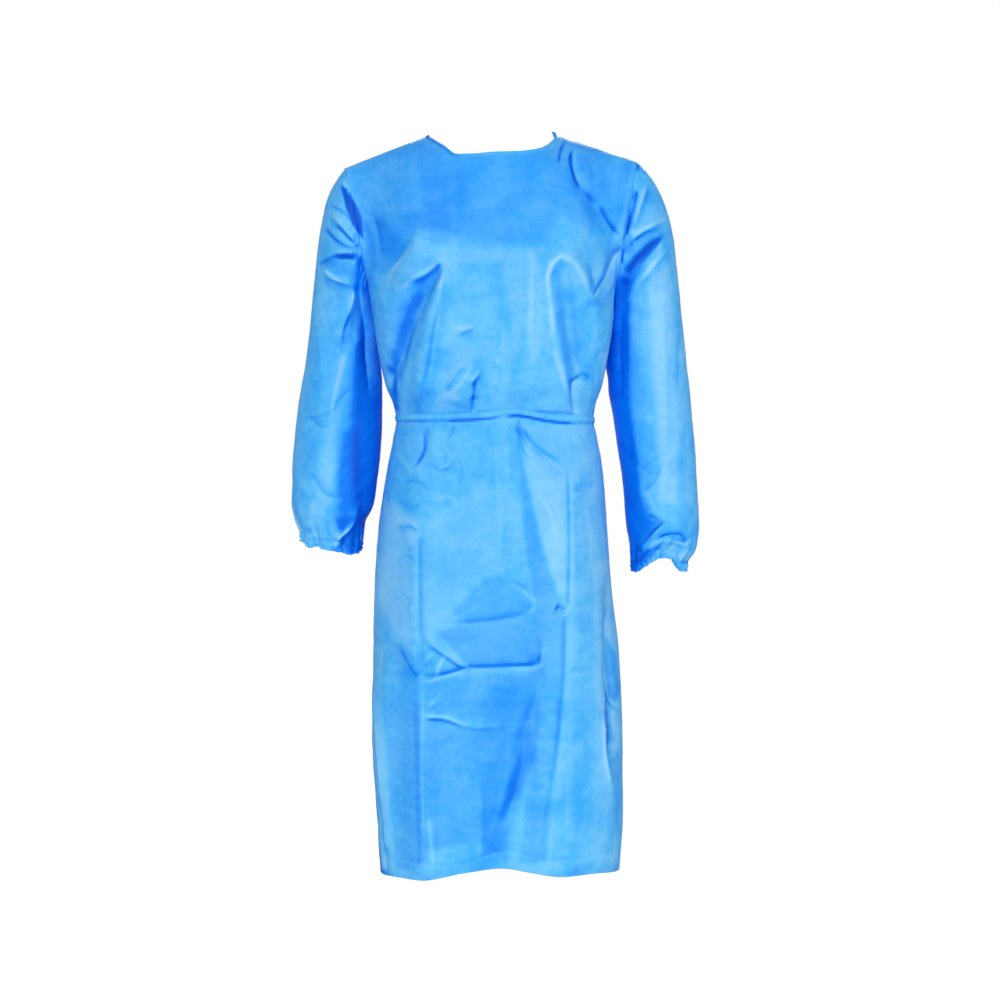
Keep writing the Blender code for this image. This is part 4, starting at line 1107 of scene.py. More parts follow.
backRight = {
    "node": "back_panel_right",
    "flat": (0.45, 1.13),
    "area": 0.43,
    "seed": 41,
    "crinkle": (0.055, 0.0012),
    "turns": (-180 - gown["innerWrap"], -90, 162),
    "rows": (262, 70),
    "lapped": False,
    "folds": backFolds,
    "creases": backCreases,
    "paintedPatches": backPaintedPatches,
    "paintedStrokes": backPaintedStrokes,
}
leftTurns, leftGrid, leftOut = panelPiece("backPanelLeft", backLeft, False)
rightTurns, rightGrid, rightOut = panelPiece("backPanelRight", backRight, False)

# sleeves
sleeve = {
    "radius": 0.062,  # for laying the crinkles out flat
    "ease": 0.0004,  # ripple along the armhole seam
    "paintedShareBehind": 0.8,  # share of the painted shade and light that shows at the back
}
sleeveRight = {
    "node": "sleeve_right",
    "rings": ringsRight,
    "side": -1,
    "flat": (0.46, 0.58),
    "area": 0.2,
    "rows": 250,
    "columns": 208,
    # turn round the wrist, how much higher the cloth ends there
    "rim": ((0, 0.010), (30, 0.006), (51, 0.0), (62, 0.0022), (75, 0.0022), (92, 0.0), (115, -0.0015),
            (133, -0.002), (155, 0.003), (180, 0.009), (225, 0.006), (270, 0.004), (315, 0.008),
            (360, 0.010)),
    "gathers": (21, 0.0024, 0.060),  # how many, how deep, how far they run up
    "rests": (-0.31, -0.225, 0.0065),  # low end, high end and push of the side against the body
    "seed": 51,
    "crinkle": (0.046, 0.0010),
    "creases": (
        # the cap, drawn up along the armhole
        (((-228, -84), (-220, -107), (-206, -150)), -4.4, 4, 7, 0.15, 0.25),
        (((-248, -94), (-231, -80), (-211, -120), (-206, -142)), 2.4, 6, 4, 0.3, 0.2),
        (((-256, -124), (-241, -135), (-222, -159), (-205, -172)), 2.8, 6, 4, 0.35, 0.15),
        (((-250, -140), (-232, -156), (-212, -177)), -2.6, 5, 4.5, 0.4, 0.2),
        (((-252, -187), (-232, -186), (-212, -187)), 2.4, 3.5, 7, 0.4, 0.2),
        (((-246, -195), (-228, -194), (-211, -196)), -2.6, 5, 3.5, 0.4, 0.2),
        # the long fold that falls from it
        (((-269, -202), (-248, -223), (-217, -237), (-218, -259), (-233, -302), (-238, -350)), 5.6, 13, 6,
          0.15, 0.35),
        (((-208, -212), (-196, -300), (-192, -420)), -6, 12, 10, 0.2, 0.4),
        (((-276, -250), (-268, -330), (-262, -420)), 1.6, 12, 10, 0.4, 0.4),
        (((-236, -340), (-262, -440), (-270, -540)), 2.4, 14, 18, 0.4, 0.3),
        (((-214, -392), (-236, -410), (-250, -440)), -1.8, 5, 7, 0.3, 0.4),
        (((-292, -430), (-270, -452), (-244, -458)), -1.4, 4, 6, 0.3, 0.4),
        (((-284, -520), (-262, -556), (-230, -566)), -2.2, 5, 7, 0.3, 0.3),
        (((-245, -631), (-222, -607), (-205, -560)), 3, 4, 6, 0.1, 0.5),
    ),
    "backCreases": (
        (((-226, -86), (-214, -120), (-204, -160)), -5, 5, 6, 0.2, 0.3),
        (((-258, -130), (-236, -146), (-208, -176)), 3.6, 5, 4, 0.2, 0.2),
        (((-262, -190), (-236, -206), (-210, -240)), -4, 6, 8, 0.2, 0.2),
        (((-200, -250), (-206, -360), (-216, -470)), -4, 10, 12, 0.2, 0.4),
        (((-278, -340), (-246, -372), (-214, -380)), -3, 5, 6, 0.3, 0.2),
        (((-286, -420), (-250, -440), (-216, -446)), 2.6, 6, 5, 0.3, 0.3),
    ),
    "paintedPatches": (
        (((-236, -79), (-225, -88), (-214, -108), (-205, -128), (-202, -162), (-216, -145), (-228, -115)),
          1.35, 2.5),
        (((-234, -72), (-222, -82), (-209, -103), (-199, -128), (-196, -162), (-200, -146), (-206, -125),
          (-216, -106), (-226, -88)), -0.25, 2),
        (((-256, -647), (-229, -624), (-209, -598), (-189, -581), (-182, -596), (-188, -658),
          (-237, -661)), 0.55, 4),
        (((-257, -119), (-229, -122), (-209, -149), (-222, -156), (-243, -140)), -0.14, 4),
        (((-271, -199), (-229, -186), (-209, -186), (-200, -202), (-216, -245), (-237, -233),
          (-265, -211)), 0.4, 5),
        (((-269, -208), (-217, -240), (-222, -260), (-245, -294), (-280, -294)), -0.16, 6),
        (((-211, -189), (-179, -189), (-160, -288), (-142, -388), (-142, -473), (-148, -550), (-160, -596),
          (-213, -599), (-219, -519), (-219, -411), (-211, -337), (-203, -276), (-203, -233)), 0.82, 10),
        (((-219, -257), (-200, -303), (-194, -565), (-237, -627), (-246, -519), (-234, -380)), 0.3, 12),
        (((-237, -457), (-209, -457), (-203, -602), (-246, -614), (-242, -519)), 0.5, 8),
        (((-265, -257), (-229, -245), (-222, -285), (-253, -311)), 0.28, 4),
        (((-219, -242), (-205, -242), (-203, -319), (-216, -326)), -0.4, 3),
        (((-229, -60), (-219, -66), (-203, -111), (-213, -112)), 0.4, 3),
        (((-236, -331), (-219, -303), (-213, -313), (-219, -337), (-225, -411), (-240, -519), (-260, -588),
          (-280, -584), (-262, -473), (-246, -380)), -0.3, 9),
        (((-290, -334), (-271, -350), (-271, -473), (-299, -565), (-305, -473)), 0.1, 9),
        (((-243, -596), (-197, -584), (-194, -642), (-222, -645), (-237, -627)), 0.6, 7),
    ),
    "paintedStrokes": (
        (((-236, -80), (-222, -108), (-205, -137)), 0.7, 3),
        (((-262, -143), (-243, -165), (-219, -176), (-203, -169)), 0.85, 3.2),
        (((-254, -109), (-229, -125), (-206, -152)), 0.55, 2.4),
        (((-269, -202), (-245, -189), (-211, -186)), 0.6, 3),
        (((-266, -208), (-240, -226), (-214, -242)), -0.45, 3),
        (((-214, -242), (-222, -285), (-231, -319)), -0.6, 3.4),
        (((-237, -79), (-222, -97), (-211, -122)), -0.5, 2.4),
        (((-228, -334), (-246, -403), (-253, -442)), -0.45, 3.4),
        (((-248, -636), (-222, -608)), -0.9, 2.4),
        (((-242, -641), (-217, -611)), 0.5, 2.2),
        (((-280, -565), (-277, -627)), -0.35, 5),
        (((-257, -608), (-248, -627)), 0.35, 2.4),
        (((-294, -442), (-253, -430), (-222, -403)), 0.25, 2.4),
    ),
}
sleeveLeft = {
    "node": "sleeve_left",
    "rings": ringsLeft,
    "side": 1,
    "flat": (0.46, 0.60),
    "area": 0.2,
    "rows": 256,
    "columns": 208,
    "rim": ((0, 0.0), (46, 0.001), (54, 0.006), (63, 0.018), (72, 0.0205), (82, 0.021), (97, 0.019),
            (115, 0.0115), (142, 0.0), (180, 0.001), (215, 0.014), (235, 0.020), (270, 0.022),
            (308, 0.019), (335, 0.006), (360, 0.0)),
    "gathers": (19, 0.0015, 0.045),
    "rests": (-0.355, -0.225, 0.0060),
    "seed": 61,
    "crinkle": (0.046, 0.0010),
    "creases": (
        (((221, -88), (211, -107), (206, -132), (198, -155)), -4.4, 6, 4, 0.15, 0.2),
        (((236, -78), (222, -120), (212, -150)), 3, 3, 6, 0.25, 0.2),
        (((212, -164), (233, -150), (262, -143)), 2.6, 4, 6, 0.15, 0.45),
        (((254, -159), (245, -176), (223, -198), (199, -223)), -5.2, 9, 5, 0.25, 0.15),
        (((268, -178), (246, -204), (218, -244)), 2, 5, 10, 0.3, 0.4),
        (((205, -212), (192, -300), (196, -430)), -6, 10, 12, 0.2, 0.4),
        (((258, -205), (262, -340), (268, -520)), 2.4, 18, 20, 0.3, 0.3),
        (((286, -300), (284, -400)), -1.6, 6, 8, 0.4, 0.4),
        (((232, -420), (252, -440), (276, -446)), -1.4, 5, 6, 0.3, 0.4),
        (((222, -560), (246, -540), (266, -500)), -2, 5, 7, 0.2, 0.4),
        (((223, -644), (253, -604), (266, -597)), 3.4, 4, 5, 0.1, 0.3),
        (((248, -627), (272, -620), (290, -621), (299, -633)), -3, 3, 5, 0.2, 0.1),
    ),
    "backCreases": (
        (((222, -84), (210, -116), (200, -158)), -5, 6, 5, 0.2, 0.3),
        (((206, -180), (234, -156), (262, -146)), 3.6, 4, 5, 0.2, 0.2),
        (((262, -196), (238, -214), (208, -246)), -4.2, 8, 6, 0.2, 0.2),
        (((198, -256), (206, -370), (220, -480)), -4, 12, 10, 0.2, 0.4),
        (((214, -392), (248, -382), (284, -350)), -3, 5, 6, 0.2, 0.3),
        (((222, -470), (252, -462), (288, -438)), 2.6, 6, 5, 0.3, 0.3),
    ),
    "paintedPatches": (
        (((257, -160), (240, -174), (222, -189), (206, -208), (200, -231), (213, -223), (231, -202),
          (246, -182)), 0.18, 3),
        (((259, -157), (237, -172), (216, -189), (200, -211), (197, -234), (213, -233), (233, -211),
          (249, -186)), 0.4, 3),
        (((191, -223), (225, -183), (259, -157), (245, -189), (219, -217), (208, -257), (209, -411),
          (217, -473), (226, -550), (243, -584), (262, -601), (226, -641), (226, -653), (213, -688),
          (166, -682), (172, -534), (160, -411), (151, -353), (160, -288), (169, -226)), 0.86, 8),
        (((237, -199), (268, -199), (276, -303), (286, -457), (280, -573), (256, -565), (251, -457),
          (243, -334), (237, -242)), -0.5, 8),
        (((213, -103), (248, -111), (262, -134), (225, -159), (209, -152)), -0.25, 6),
        (((288, -257), (299, -442), (308, -565), (302, -627), (293, -565), (283, -411)), -0.15, 5),
        (((197, -257), (225, -236), (229, -350), (236, -473), (243, -574), (209, -565)), 0.18, 11),
        (((197, -159), (213, -159), (216, -183), (197, -186)), 0.45, 3),
        (((225, -534), (243, -565), (259, -599), (240, -596), (225, -573)), -0.32, 4),
        (((216, -658), (240, -639), (249, -648), (228, -670)), 0.35, 3),
        (((163, -303), (194, -303), (200, -411), (169, -411)), 0.35, 3),
        (((191, -559), (225, -550), (243, -584), (262, -601), (226, -641), (209, -651), (188, -627)), 0.04,
          4),
        (((194, -636), (225, -644), (226, -651), (256, -638), (242, -651), (228, -670), (213, -688),
          (191, -676)), 0.35, 3),
        (((249, -628), (273, -621), (296, -624), (302, -633), (274, -627)), 0.6, 2),
        (((262, -636), (293, -639), (308, -645), (286, -662), (268, -651)), -0.35, 4),
    ),
    "paintedStrokes": (
        (((220, -85), (217, -108), (211, -134), (203, -159)), 1.15, 3.6),
        (((257, -159), (234, -186), (206, -211)), 0.9, 3.6),
        (((206, -174), (233, -152), (262, -137)), 0.5, 2.6),
        (((206, -165), (237, -146), (268, -128)), -0.5, 2.4),
        (((262, -165), (240, -192), (225, -208)), -0.5, 2.4),
        (((226, -642), (245, -619), (265, -599)), -0.8, 2.6),
        (((237, -587), (251, -593), (262, -602)), 0.5, 2.6),
        (((248, -628), (273, -621), (291, -621), (299, -630)), 0.7, 2.6),
        (((231, -641), (251, -628), (271, -627), (302, -636)), -0.6, 2.8),
        (((219, -661), (236, -645), (257, -636)), 0.9, 2.6),
        (((286, -662), (302, -659)), 0.7, 2.4),
        (((225, -519), (259, -496), (286, -488)), 0.2, 2.4),
    ),
}


def armPoints(choice, turn, step):  # step counts the rings from the armhole down
    rings = choice["rings"]
    sizes = [smoothCurve(range(len(rings)), column, step) for column in rings.T]
    outer, outerHeight, inner, innerHeight, middle, ahead, behind = sizes
    across = (outer + inner) / 2 + (outer - inner) / 2 * np.cos(turn)
    height = (outerHeight + innerHeight) / 2 + (outerHeight - innerHeight) / 2 * np.cos(turn)
    reach = middle - np.where(np.sin(turn) > 0, ahead, behind) * np.sin(turn)
    last = len(rings) - 1
    around, lifts = np.array(choice["rim"]).T
    height = height + smoothCurve(around, lifts, np.degrees(turn)) * easeIn(step, last - 2.5, last)
    return np.stack([choice["side"] * across, reach, height], axis=-1)


def evenSteps(choice):  # rows an even way apart down the front of the arm
    steps = np.linspace(0, len(choice["rings"]) - 1, 401)
    line = armPoints(choice, np.full(len(steps), math.pi / 2), steps)
    run = runOf(line)
    return np.interp(np.linspace(0, run[-1], choice["rows"]), run, steps)


def turnApart(turn, other):  # the short way round, from -pi to pi
    return (turn - other + math.pi) % (2 * math.pi) - math.pi


def gathers(turn, up, count, depth, reach, seed):  # up: distance above the elastic
    chance = np.random.default_rng(seed)
    total = np.zeros(np.broadcast(turn, up).shape)
    apart = 2 * math.pi / count
    for k in range(count):
        at = (k + chance.uniform(-0.3, 0.3)) * apart
        wide = apart * chance.uniform(0.28, 0.42)
        sway = chance.uniform(-1.2, 1.2)
        size = reach * chance.uniform(0.35, 1.0)
        away = turnApart(turn, at + sway * up)
        fade = 1 - easeIn(up, 0.15 * size, size)
        total -= depth * chance.uniform(0.6, 1.2) * fade * bell(away, 0, wide * (1 + 6 * up))
    return total + depth * 0.45 * (1 - easeIn(up, 0, reach))


def sleevePaintedTone(choice, points, ahead):  # the same painted shade and light lies on the front and the back
    total = np.zeros(points.shape[:2])
    inFront = easeIn(ahead, -0.30, -0.10)
    atBack = sleeve["paintedShareBehind"] * easeIn(-ahead, 0.10, 0.30)
    for behind, share in ((False, inFront), (True, atBack)):
        across, height = onView(points, behind)
        tone = paintedPatchTone(choice["paintedPatches"], across, height) + paintedStrokeTone(choice["paintedStrokes"], across, height)
        total += tone * share
    return total


def sleevePiece(name, choice):
    steps = evenSteps(choice)
    turns = np.linspace(0, 2 * math.pi, choice["columns"] + 1)[:-1]
    turn, step = np.meshgrid(turns, steps)
    ahead = np.sin(turn)  # 1 at the front of the arm, -1 at the back
    points = armPoints(choice, turn, step)
    viewAcross, viewHeight = onView(points)
    lift = creaseLift(choice["creases"], viewAcross, viewHeight) * easeIn(ahead, 0.05, 0.60)
    viewAcross, viewHeight = onView(points, True)
    lift += creaseLift(choice["backCreases"], viewAcross, viewHeight) * easeIn(-ahead, 0.05, 0.60)
    around = np.abs(turnApart(turn, math.pi / 2)) * sleeve["radius"]
    lift += crinkles(around, points[..., 2], choice)
    end = armPoints(choice, turns, np.full(len(turns), steps[-1]))
    up = np.linalg.norm(points - end[None], axis=-1)
    lift *= easeIn(step, 0.0, 0.9) * easeIn(up, 0.0, 0.008)
    lift += gathers(turn, up, *choice["gathers"], choice["seed"] + 2)
    # the seam eased into the armhole
    down = np.linalg.norm(points - points[:1], axis=-1)
    ease = sleeve["ease"] * np.sin(turn * 31 + 0.7 * np.sin(turn * 5))
    ease *= bell(down, 0.006, 0.010) * easeIn(step, 0, 0.25)
    # the inner side rests against the body under the arm
    low, high, push = choice["rests"]
    height = points[..., 2]
    lean = push * easeIn(height, low - 0.03, low + 0.01) * (1 - easeIn(height, high - 0.02, high))
    lean *= easeIn(-np.cos(turn), 0.55, 0.95)
    out = gridNormals(points, True)
    points = points + out * lean[..., None]
    leaning = gridNormals(points, True)
    points = points + out * (lift * gown["press"] + ease)[..., None]
    detailed = gridNormals(points, True)
    # painted shade and light from how the creases turn against a fixed light, then the painted patches and
    # strokes
    shades = paintedReliefTone(leaning, detailed, gown["light"]) * easeIn(ahead, -0.1, 0.2)
    shades += paintedReliefTone(leaning, detailed, gown["lightBehind"]) * easeIn(-ahead, -0.1, 0.2)
    shades *= easeIn(step, 0.02, 0.30)
    shades += sleevePaintedTone(choice, points, ahead)
    grid, paintedTones = turnedIn(points, shades, seamEdge, joinEdge)
    rows, columns = grid.shape[:2]
    faces = gridFaces(rows, columns, True, choice["side"] < 0)
    made = meshPiece(name, grid, faces, gownLook, choice["node"], paintedTones)
    report(made)
    return points


armRight = sleevePiece("sleeveRight", sleeveRight)
armLeft = sleevePiece("sleeveLeft", sleeveLeft)


# cuffs: elastic in a sewn casing, with a small ruffle below it
cuff = {
    "width": 0.0125,
    "ruffle": 0.0022,
    "rows": 46,
    "columns": 330,
    "gathers": 38,
    "depth": 0.0011,
    "taper": 0.0014,  # how far it draws in on the way down
    # share of the way down, how far it stands out: stitched, puffed over the elastic, stitched, flared
    "wall": ((0.0, 0.0), (0.10, 0.0), (0.17, -0.0005), (0.45, 0.0006), (0.74, 0.0001), (0.81, -0.0009),
             (0.90, -0.0002), (1.0, 0.0010)),
    # how its end is turned back up inside
    "rim": ((0.0, 0.0), (-0.0002, 0.0004), (-0.0001, 0.0011), (0.0010, 0.0018), (0.0118, 0.0030)),
    "flat": (0.42, 0.027),
    "area": 0.0105,
}


def cuffPiece(name, node, choice, arm, seed):
    columns = cuff["columns"]
    ring = arm[-1]
    at = np.arange(columns) * len(ring) / columns
    low = np.floor(at).astype(int)
    part = (at - low)[:, None]
    top = ring[low % len(ring)] * (1 - part) + ring[(low + 1) % len(ring)] * part
    top = top + np.array((0, 0, -0.0001))
    out = unitOf((top - top.mean(axis=0)) * (1, 1, 0))
    chance = np.random.default_rng(seed)
    turn = np.linspace(0, 2 * math.pi, columns + 1)[:-1]
    down = np.linspace(0, 1, cuff["rows"])[:, None]
    places, bulges = np.array(cuff["wall"]).T
    bulge = smoothCurve(places, bulges, down) - cuff["taper"] * down
    pleat = np.zeros((cuff["rows"], columns))
    apart = 2 * math.pi / cuff["gathers"]
    for k in range(cuff["gathers"]):
        spot = (k + chance.uniform(-0.3, 0.3)) * apart
        away = turnApart(turn[None], spot + chance.uniform(-0.10, 0.10) * down)
        wide = apart * chance.uniform(0.26, 0.36)
        pleat -= chance.uniform(0.5, 1.2) * bell(away, 0, wide)
    grown = 0.35 + 0.9 * easeIn(down, 0.0, 0.3) + 0.5 * easeIn(down, 0.85, 1.0)
    pleat = (pleat + 0.45) * cuff["depth"] * grown
    ruffle = np.zeros(columns)
    for wave in (5, 9, 14, 23):
        ruffle += np.sin(turn * wave + chance.uniform(0, 6.28)) * chance.uniform(0.3, 0.6)
    points = top[None] + out[None] * (bulge + pleat)[..., None]
    points[..., 2] -= down * cuff["width"]
    points[..., 2] -= easeIn(down, 0.80, 1.0) * cuff["ruffle"] * (0.6 + 0.5 * ruffle[None])
    points = points[::-1]  # rows going up, as on the other pieces
    # painted shade in the hollows of the gathers, then the sleeve's painted shade and light
    shades = 0.25 * easeIn(-pleat[::-1] / cuff["depth"], 0.2, 1.0)
    shades = shades + sleevePaintedTone(choice, points, np.sin(turn)[None])
    grid, paintedTones = turnedIn(points, shades, cuff["rim"], joinEdge)
    faces = gridFaces(*grid.shape[:2], True)
    made = meshPiece(name, grid, faces, gownLook, node, paintedTones)
    report(made)


cuffPiece("cuffRight", "cuff_right", sleeveRight, armRight, 71)
cuffPiece("cuffLeft", "cuff_left", sleeveLeft, armLeft, 72)


# The belt, the neck binding and the ties are strips, swept along rows of points: at each one a
# middle, the way across the strip and the way out of the cloth.
def stripPiece(name, node, middles, across, out, profile, choice, closed=False, paintedTones=0.0):
    # profile: (share of the width from -1 to 1, lift) round the strip's section
    chance = np.random.default_rng(choice["seed"])
    run = runOf(middles)
    profile = np.array(profile)
    rough = np.zeros((len(middles), len(profile)))
    for _ in range(5):
        pitch = chance.uniform(0.006, 0.03)
        lean = chance.uniform(-2.0, 2.0)
        swing = run[:, None] / pitch * 2 * math.pi + profile[None, :, 0] * lean
        rough += np.sin(swing + chance.uniform(0, 6.28))
    rough *= choice["wrinkle"] / 3 * (profile[None, :, 1] > profile[:, 1].min() + 1e-6)
    points = middles[:, None] + across[:, None] * profile[None, :, :1]
    points = points + out[:, None] * (profile[None, :, 1:] + rough[..., None])
    rows, corners = points.shape[:2]
    faces = ringFaces(rows, corners) if closed else gridFaces(rows, corners, True)
    shades = np.zeros((rows, corners)) + np.reshape(paintedTones, (-1, 1))
    made = meshPiece(name, points, faces, trimLook, node, shades)
    if not closed:  # folded ends, filled in
        shape = bmesh.new()
        shape.from_mesh(made.data)
        bmesh.ops.holes_fill(shape, edges=[edge for edge in shape.edges if edge.is_boundary], sides=0)
        shape.to_mesh(made.data)
        shape.free()
    report(made)


def bandProfile(half, low, high, groove):
    # a folded strip with a line of stitches near each edge
    top = [(-1.0, low), (-1.02, (low + high) / 2), (-0.97, high - 0.0002), (-0.86, high), (-0.78, high)]
    top += [(-0.72, high - groove), (-0.66, high), (-0.35, high + 0.0001), (0.0, high + 0.0002)]
    profile = top + [(-share, lift) for share, lift in top[-2::-1]]
    profile += [(0.5, low), (0.0, low), (-0.5, low)]
    return [(share * half, lift) for share, lift in profile]


belt = {
    "width": 0.0080,
    "low": 0.0003,
    "high": 0.0014,
    "groove": 0.0004,  # of its stitches
    "wrinkle": 0.00025,
    "flat": (0.010, 1.08),
    "area": 0.0098,
    "held": "stretched",
    "seed": 81,
    # how it runs over the front: across, and how far above its own height
    "line": ((-0.150, 0.0035), (-0.096, 0.0035), (-0.058, 0.0045), (-0.012, 0.0058), (0.0165, 0.0098),
             (0.033, 0.0112), (0.054, 0.0082), (0.0765, 0.0045), (0.099, 0.0017), (0.150, 0.0005)),
}


def pointAt(line, height):  # on a column of cloth
    return np.array([np.interp(height, line[:, 2], line[:, k]) for k in range(3)])


def beltPiece():
    front = frontGrid[:frontPanel["rows"][0]]
    left = leftGrid[:backLeft["rows"][0]]
    right = rightGrid[:backRight["rows"][0]]
    start = int(np.searchsorted(rightTurns, gown["outerWrap"] - 178))
    columns = [front[:, c] for c in range(front.shape[1])]
    columns += [left[:, c] for c in range(1, left.shape[1])]
    columns += [right[:, c] for c in range(start, right.shape[1] - 1)]
    lows, highs = [], []
    places, rises = np.array(belt["line"]).T
    for k, column in enumerate(columns):
        across = pointAt(column, gown["beltHeight"])[0]
        if k < front.shape[1]:
            rise = smoothCurve(places, rises, across)
        else:
            rise = rises[0] * easeIn(-across, 0.03, 0.15)
        middle = gown["beltHeight"] + float(rise)
        lows.append(pointAt(column, middle - belt["width"] / 2))
        highs.append(pointAt(column, middle + belt["width"] / 2))
    lows, highs = np.array(lows), np.array(highs)
    middles = (lows + highs) / 2
    for _ in range(3):
        middles[1:-1] = (middles[:-2] + middles[1:-1] * 2 + middles[2:]) / 4
    along = unitOf(np.roll(middles, -1, 0) - np.roll(middles, 1, 0))
    up = unitOf(highs - lows)
    out = unitOf(np.cross(along, up))
    out = out * np.sign(np.sum(out * (middles * (1, 1, 0)), axis=1, keepdims=True))
    for _ in range(4):
        out = unitOf(np.roll(out, 1, 0) + out * 2 + np.roll(out, -1, 0))
    profile = bandProfile(belt["width"] / 2, belt["low"], belt["high"], belt["groove"])
    stripPiece("beltStrip", "belt", middles, up, out, profile, belt, True)


beltPiece()

binding = {
    "width": 0.0064,
    "half": 0.0010,
    "rows": 460,
    "overlap": 0.0012,  # of the cloth's edge inside it
    "inset": 0.0006,
    "wrinkle": 0.00012,
    "flat": (0.010, 0.70),
    "area": 0.0067,
    "held": "stretched",
    "seed": 82,
    "tone": 0.15,
    "sideShade": 0.45,  # painted shade, added behind the right shoulder
    # painted shade in the pinches
    "pinchShade": 0.7,
    # pinched where it crosses the shoulder seams: across, how high, how wide, lean across
    "pinches": ((0.1000, 0.0090, 0.0026, -0.0045), (-0.1080, 0.0030, 0.0036, 0.0)),
}


def columnAt(turns, turn):
    return int(np.argmin(np.abs(turns - turn)))


def neckRow(front, left, right):  # from the lapped edge round to the edge under it
    neckRight = columnAt(frontTurns, -rightNeckTurn)
    neckLeft = columnAt(frontTurns, leftNeckTurn)
    leftStart = columnAt(leftTurns, 180 - leftNeckTurn)
    rightEnd = columnAt(rightTurns, rightNeckTurn - 180)
    row = [left[-1, c] for c in range(left.shape[1] - 1, leftStart, -1)]
    row += [front[-1, c] for c in range(neckLeft, neckRight - 1, -1)]
    row += [right[-1, c] for c in range(rightEnd - 1, -1, -1)]
    return np.array(row)


def bindingPiece():
    edge = neckRow(frontGrid, leftGrid, rightGrid)
    out = neckRow(frontOut, leftOut, rightOut)
    edge = edge - out * binding["inset"]
    for _ in range(2):
        edge[1:-1] = (edge[:-2] + edge[1:-1] * 2 + edge[2:]) / 4
        out[1:-1] = unitOf(out[:-2] + out[1:-1] * 2 + out[2:])
    run = runOf(edge)
    even = np.linspace(0, run[-1], binding["rows"])
    edge = np.stack([np.interp(even, run, edge[:, k]) for k in range(3)], axis=-1)
    out = unitOf(np.stack([np.interp(even, run, out[:, k]) for k in range(3)], axis=-1))
    along = unitOf(np.gradient(edge, axis=0))
    out = squareTo(along, out)
    up = unitOf(np.cross(along, out))
    inward = unitOf((0, -0.01, 0) - edge * (1, 1, 0)) + (0, 0, 1)
    up = up * np.sign(np.sum(up * inward, axis=1, keepdims=True))
    up = unitOf(up + (0, 0, 0.6))
    half = binding["width"] / 2
    middles = edge + up * (half - binding["overlap"])
    # painted shade behind the right shoulder and in the pinches, over a slightly deeper blue along the
    # whole strip
    behind = easeIn(-edge[:, 0], 0.045, 0.070) * easeIn(-edge[:, 1], -0.02, 0.02)
    paintedTones = binding["tone"] + binding["sideShade"] * behind
    for place, high, wide, lean in binding["pinches"]:
        spot = even[int(np.argmin(np.abs(edge[:, 0] - place) - edge[:, 2] * 2))]
        middles = middles + bell(even, spot, wide)[:, None] * (lean, 0, high)
        paintedTones += binding["pinchShade"] * bell(even, spot, wide * 1.6)
    # a thin strip folded over the edge, with a line of stitches near its lower side
    profile = [(-1.0, 0.3), (-1.0, 1.0), (-0.80, 1.0), (-0.66, 0.62), (-0.50, 1.0)]
    profile += [(0.2, 1.15), (0.75, 0.95), (0.98, 0.4), (1.0, 0.0)]
    profile = profile + [(share, -lift) for share, lift in profile[-2::-1]]
    profile = [(share * half, lift * binding["half"]) for share, lift in profile]
    stripPiece("neckBinding", "neck_binding", middles, up, out, profile, binding, False, paintedTones)


bindingPiece()


# knots and ties
knots = {"waistKnot": "waist_knot", "neckKnot": "neck_knot"}
knot = {
    "wide": 0.0044,  # half the strip that it is tied from
    "thick": 0.0019,
    "crease": 0.0002,
    "margin": (0.0020, 0.0018, 0.0020),
}
# in millimetres: (across, height) from the knot to the free end
ties = {
    "waistTieLeft": ("waist_tie_left", "waist_knot",
                     ((7, -450.8), (15, -490), (21, -560), (20, -640), (26, -700))),
    "waistTieRight": ("waist_tie_right", "waist_knot",
                      ((-7, -450.8), (-17, -485), (-25, -540), (-22, -610), (-27, -672))),
    "neckTieLeft": ("neck_tie_left", "neck_knot",
                    ((6.8, -72.2), (14, -95), (19, -135), (18, -190))),
    "neckTieRight": ("neck_tie_right", "neck_knot",
                     ((-6.8, -72.2), (-15, -92), (-21, -130), (-19, -172))),
}
tie = {
    "width": 0.010,
    "wall": 0.0012,
    "clear": 0.0014,  # how far it hangs off the cloth behind it
    "groove": 0.0003,
    "wrinkle": 0.0002,
    "area": 0.0099,  # for each metre of it
    "rows": 90,
    "sway": 0.14,
    # only the panel's columns this near the middle, at this row, are looked at
    "near": 0.13,
    "row": 200,
}


def faceBehind(across, height):  # reach of the lapped panel straight behind a point
    places = []
    for c in range(0, leftGrid.shape[1], 3):
        line = leftGrid[:, c]
        if abs(line[tie["row"], 0]) < tie["near"]:
            beside, reach = pointAt(line, height)[:2]
            places.append((beside, reach))
    places.sort()
    return float(np.interp(across, [x for x, _ in places], [y for _, y in places]))


def knotPiece(name, node):  # a strip along a trefoil, kept within its own box
    lowest, highest = (np.array(corner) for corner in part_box(node))
    centre = (lowest + highest) / 2
    t = np.linspace(0, 2 * math.pi, 181)[:-1]
    line = np.stack([
        (np.sin(t) + 2 * np.sin(2 * t)) / 3,
        np.sin(3 * t) * 0.62,
        (np.cos(t) - 2 * np.cos(2 * t)) / 3,
    ], axis=-1)
    line = centre + line * ((highest - lowest) / 2 - knot["margin"]) * (0.96, 1.0, 0.96)
    along = unitOf(np.roll(line, -1, 0) - np.roll(line, 1, 0))
    out = unitOf(line - centre)
    out = squareTo(along, out)
    broad = np.cross(along, out)
    corners = []
    for angle in np.linspace(0, 2 * math.pi, 13)[:-1]:
        deep = knot["thick"] * math.sin(angle) + knot["crease"] * np.sin(t * 17 + angle * 3)
        corners.append(line + broad * (knot["wide"] * math.cos(angle)) + out * deep[:, None])
    points = np.clip(np.stack(corners, axis=1), lowest - 0.0005, highest + 0.0005)
    report(meshPiece(name, points, ringFaces(*points.shape[:2]), trimLook, node))


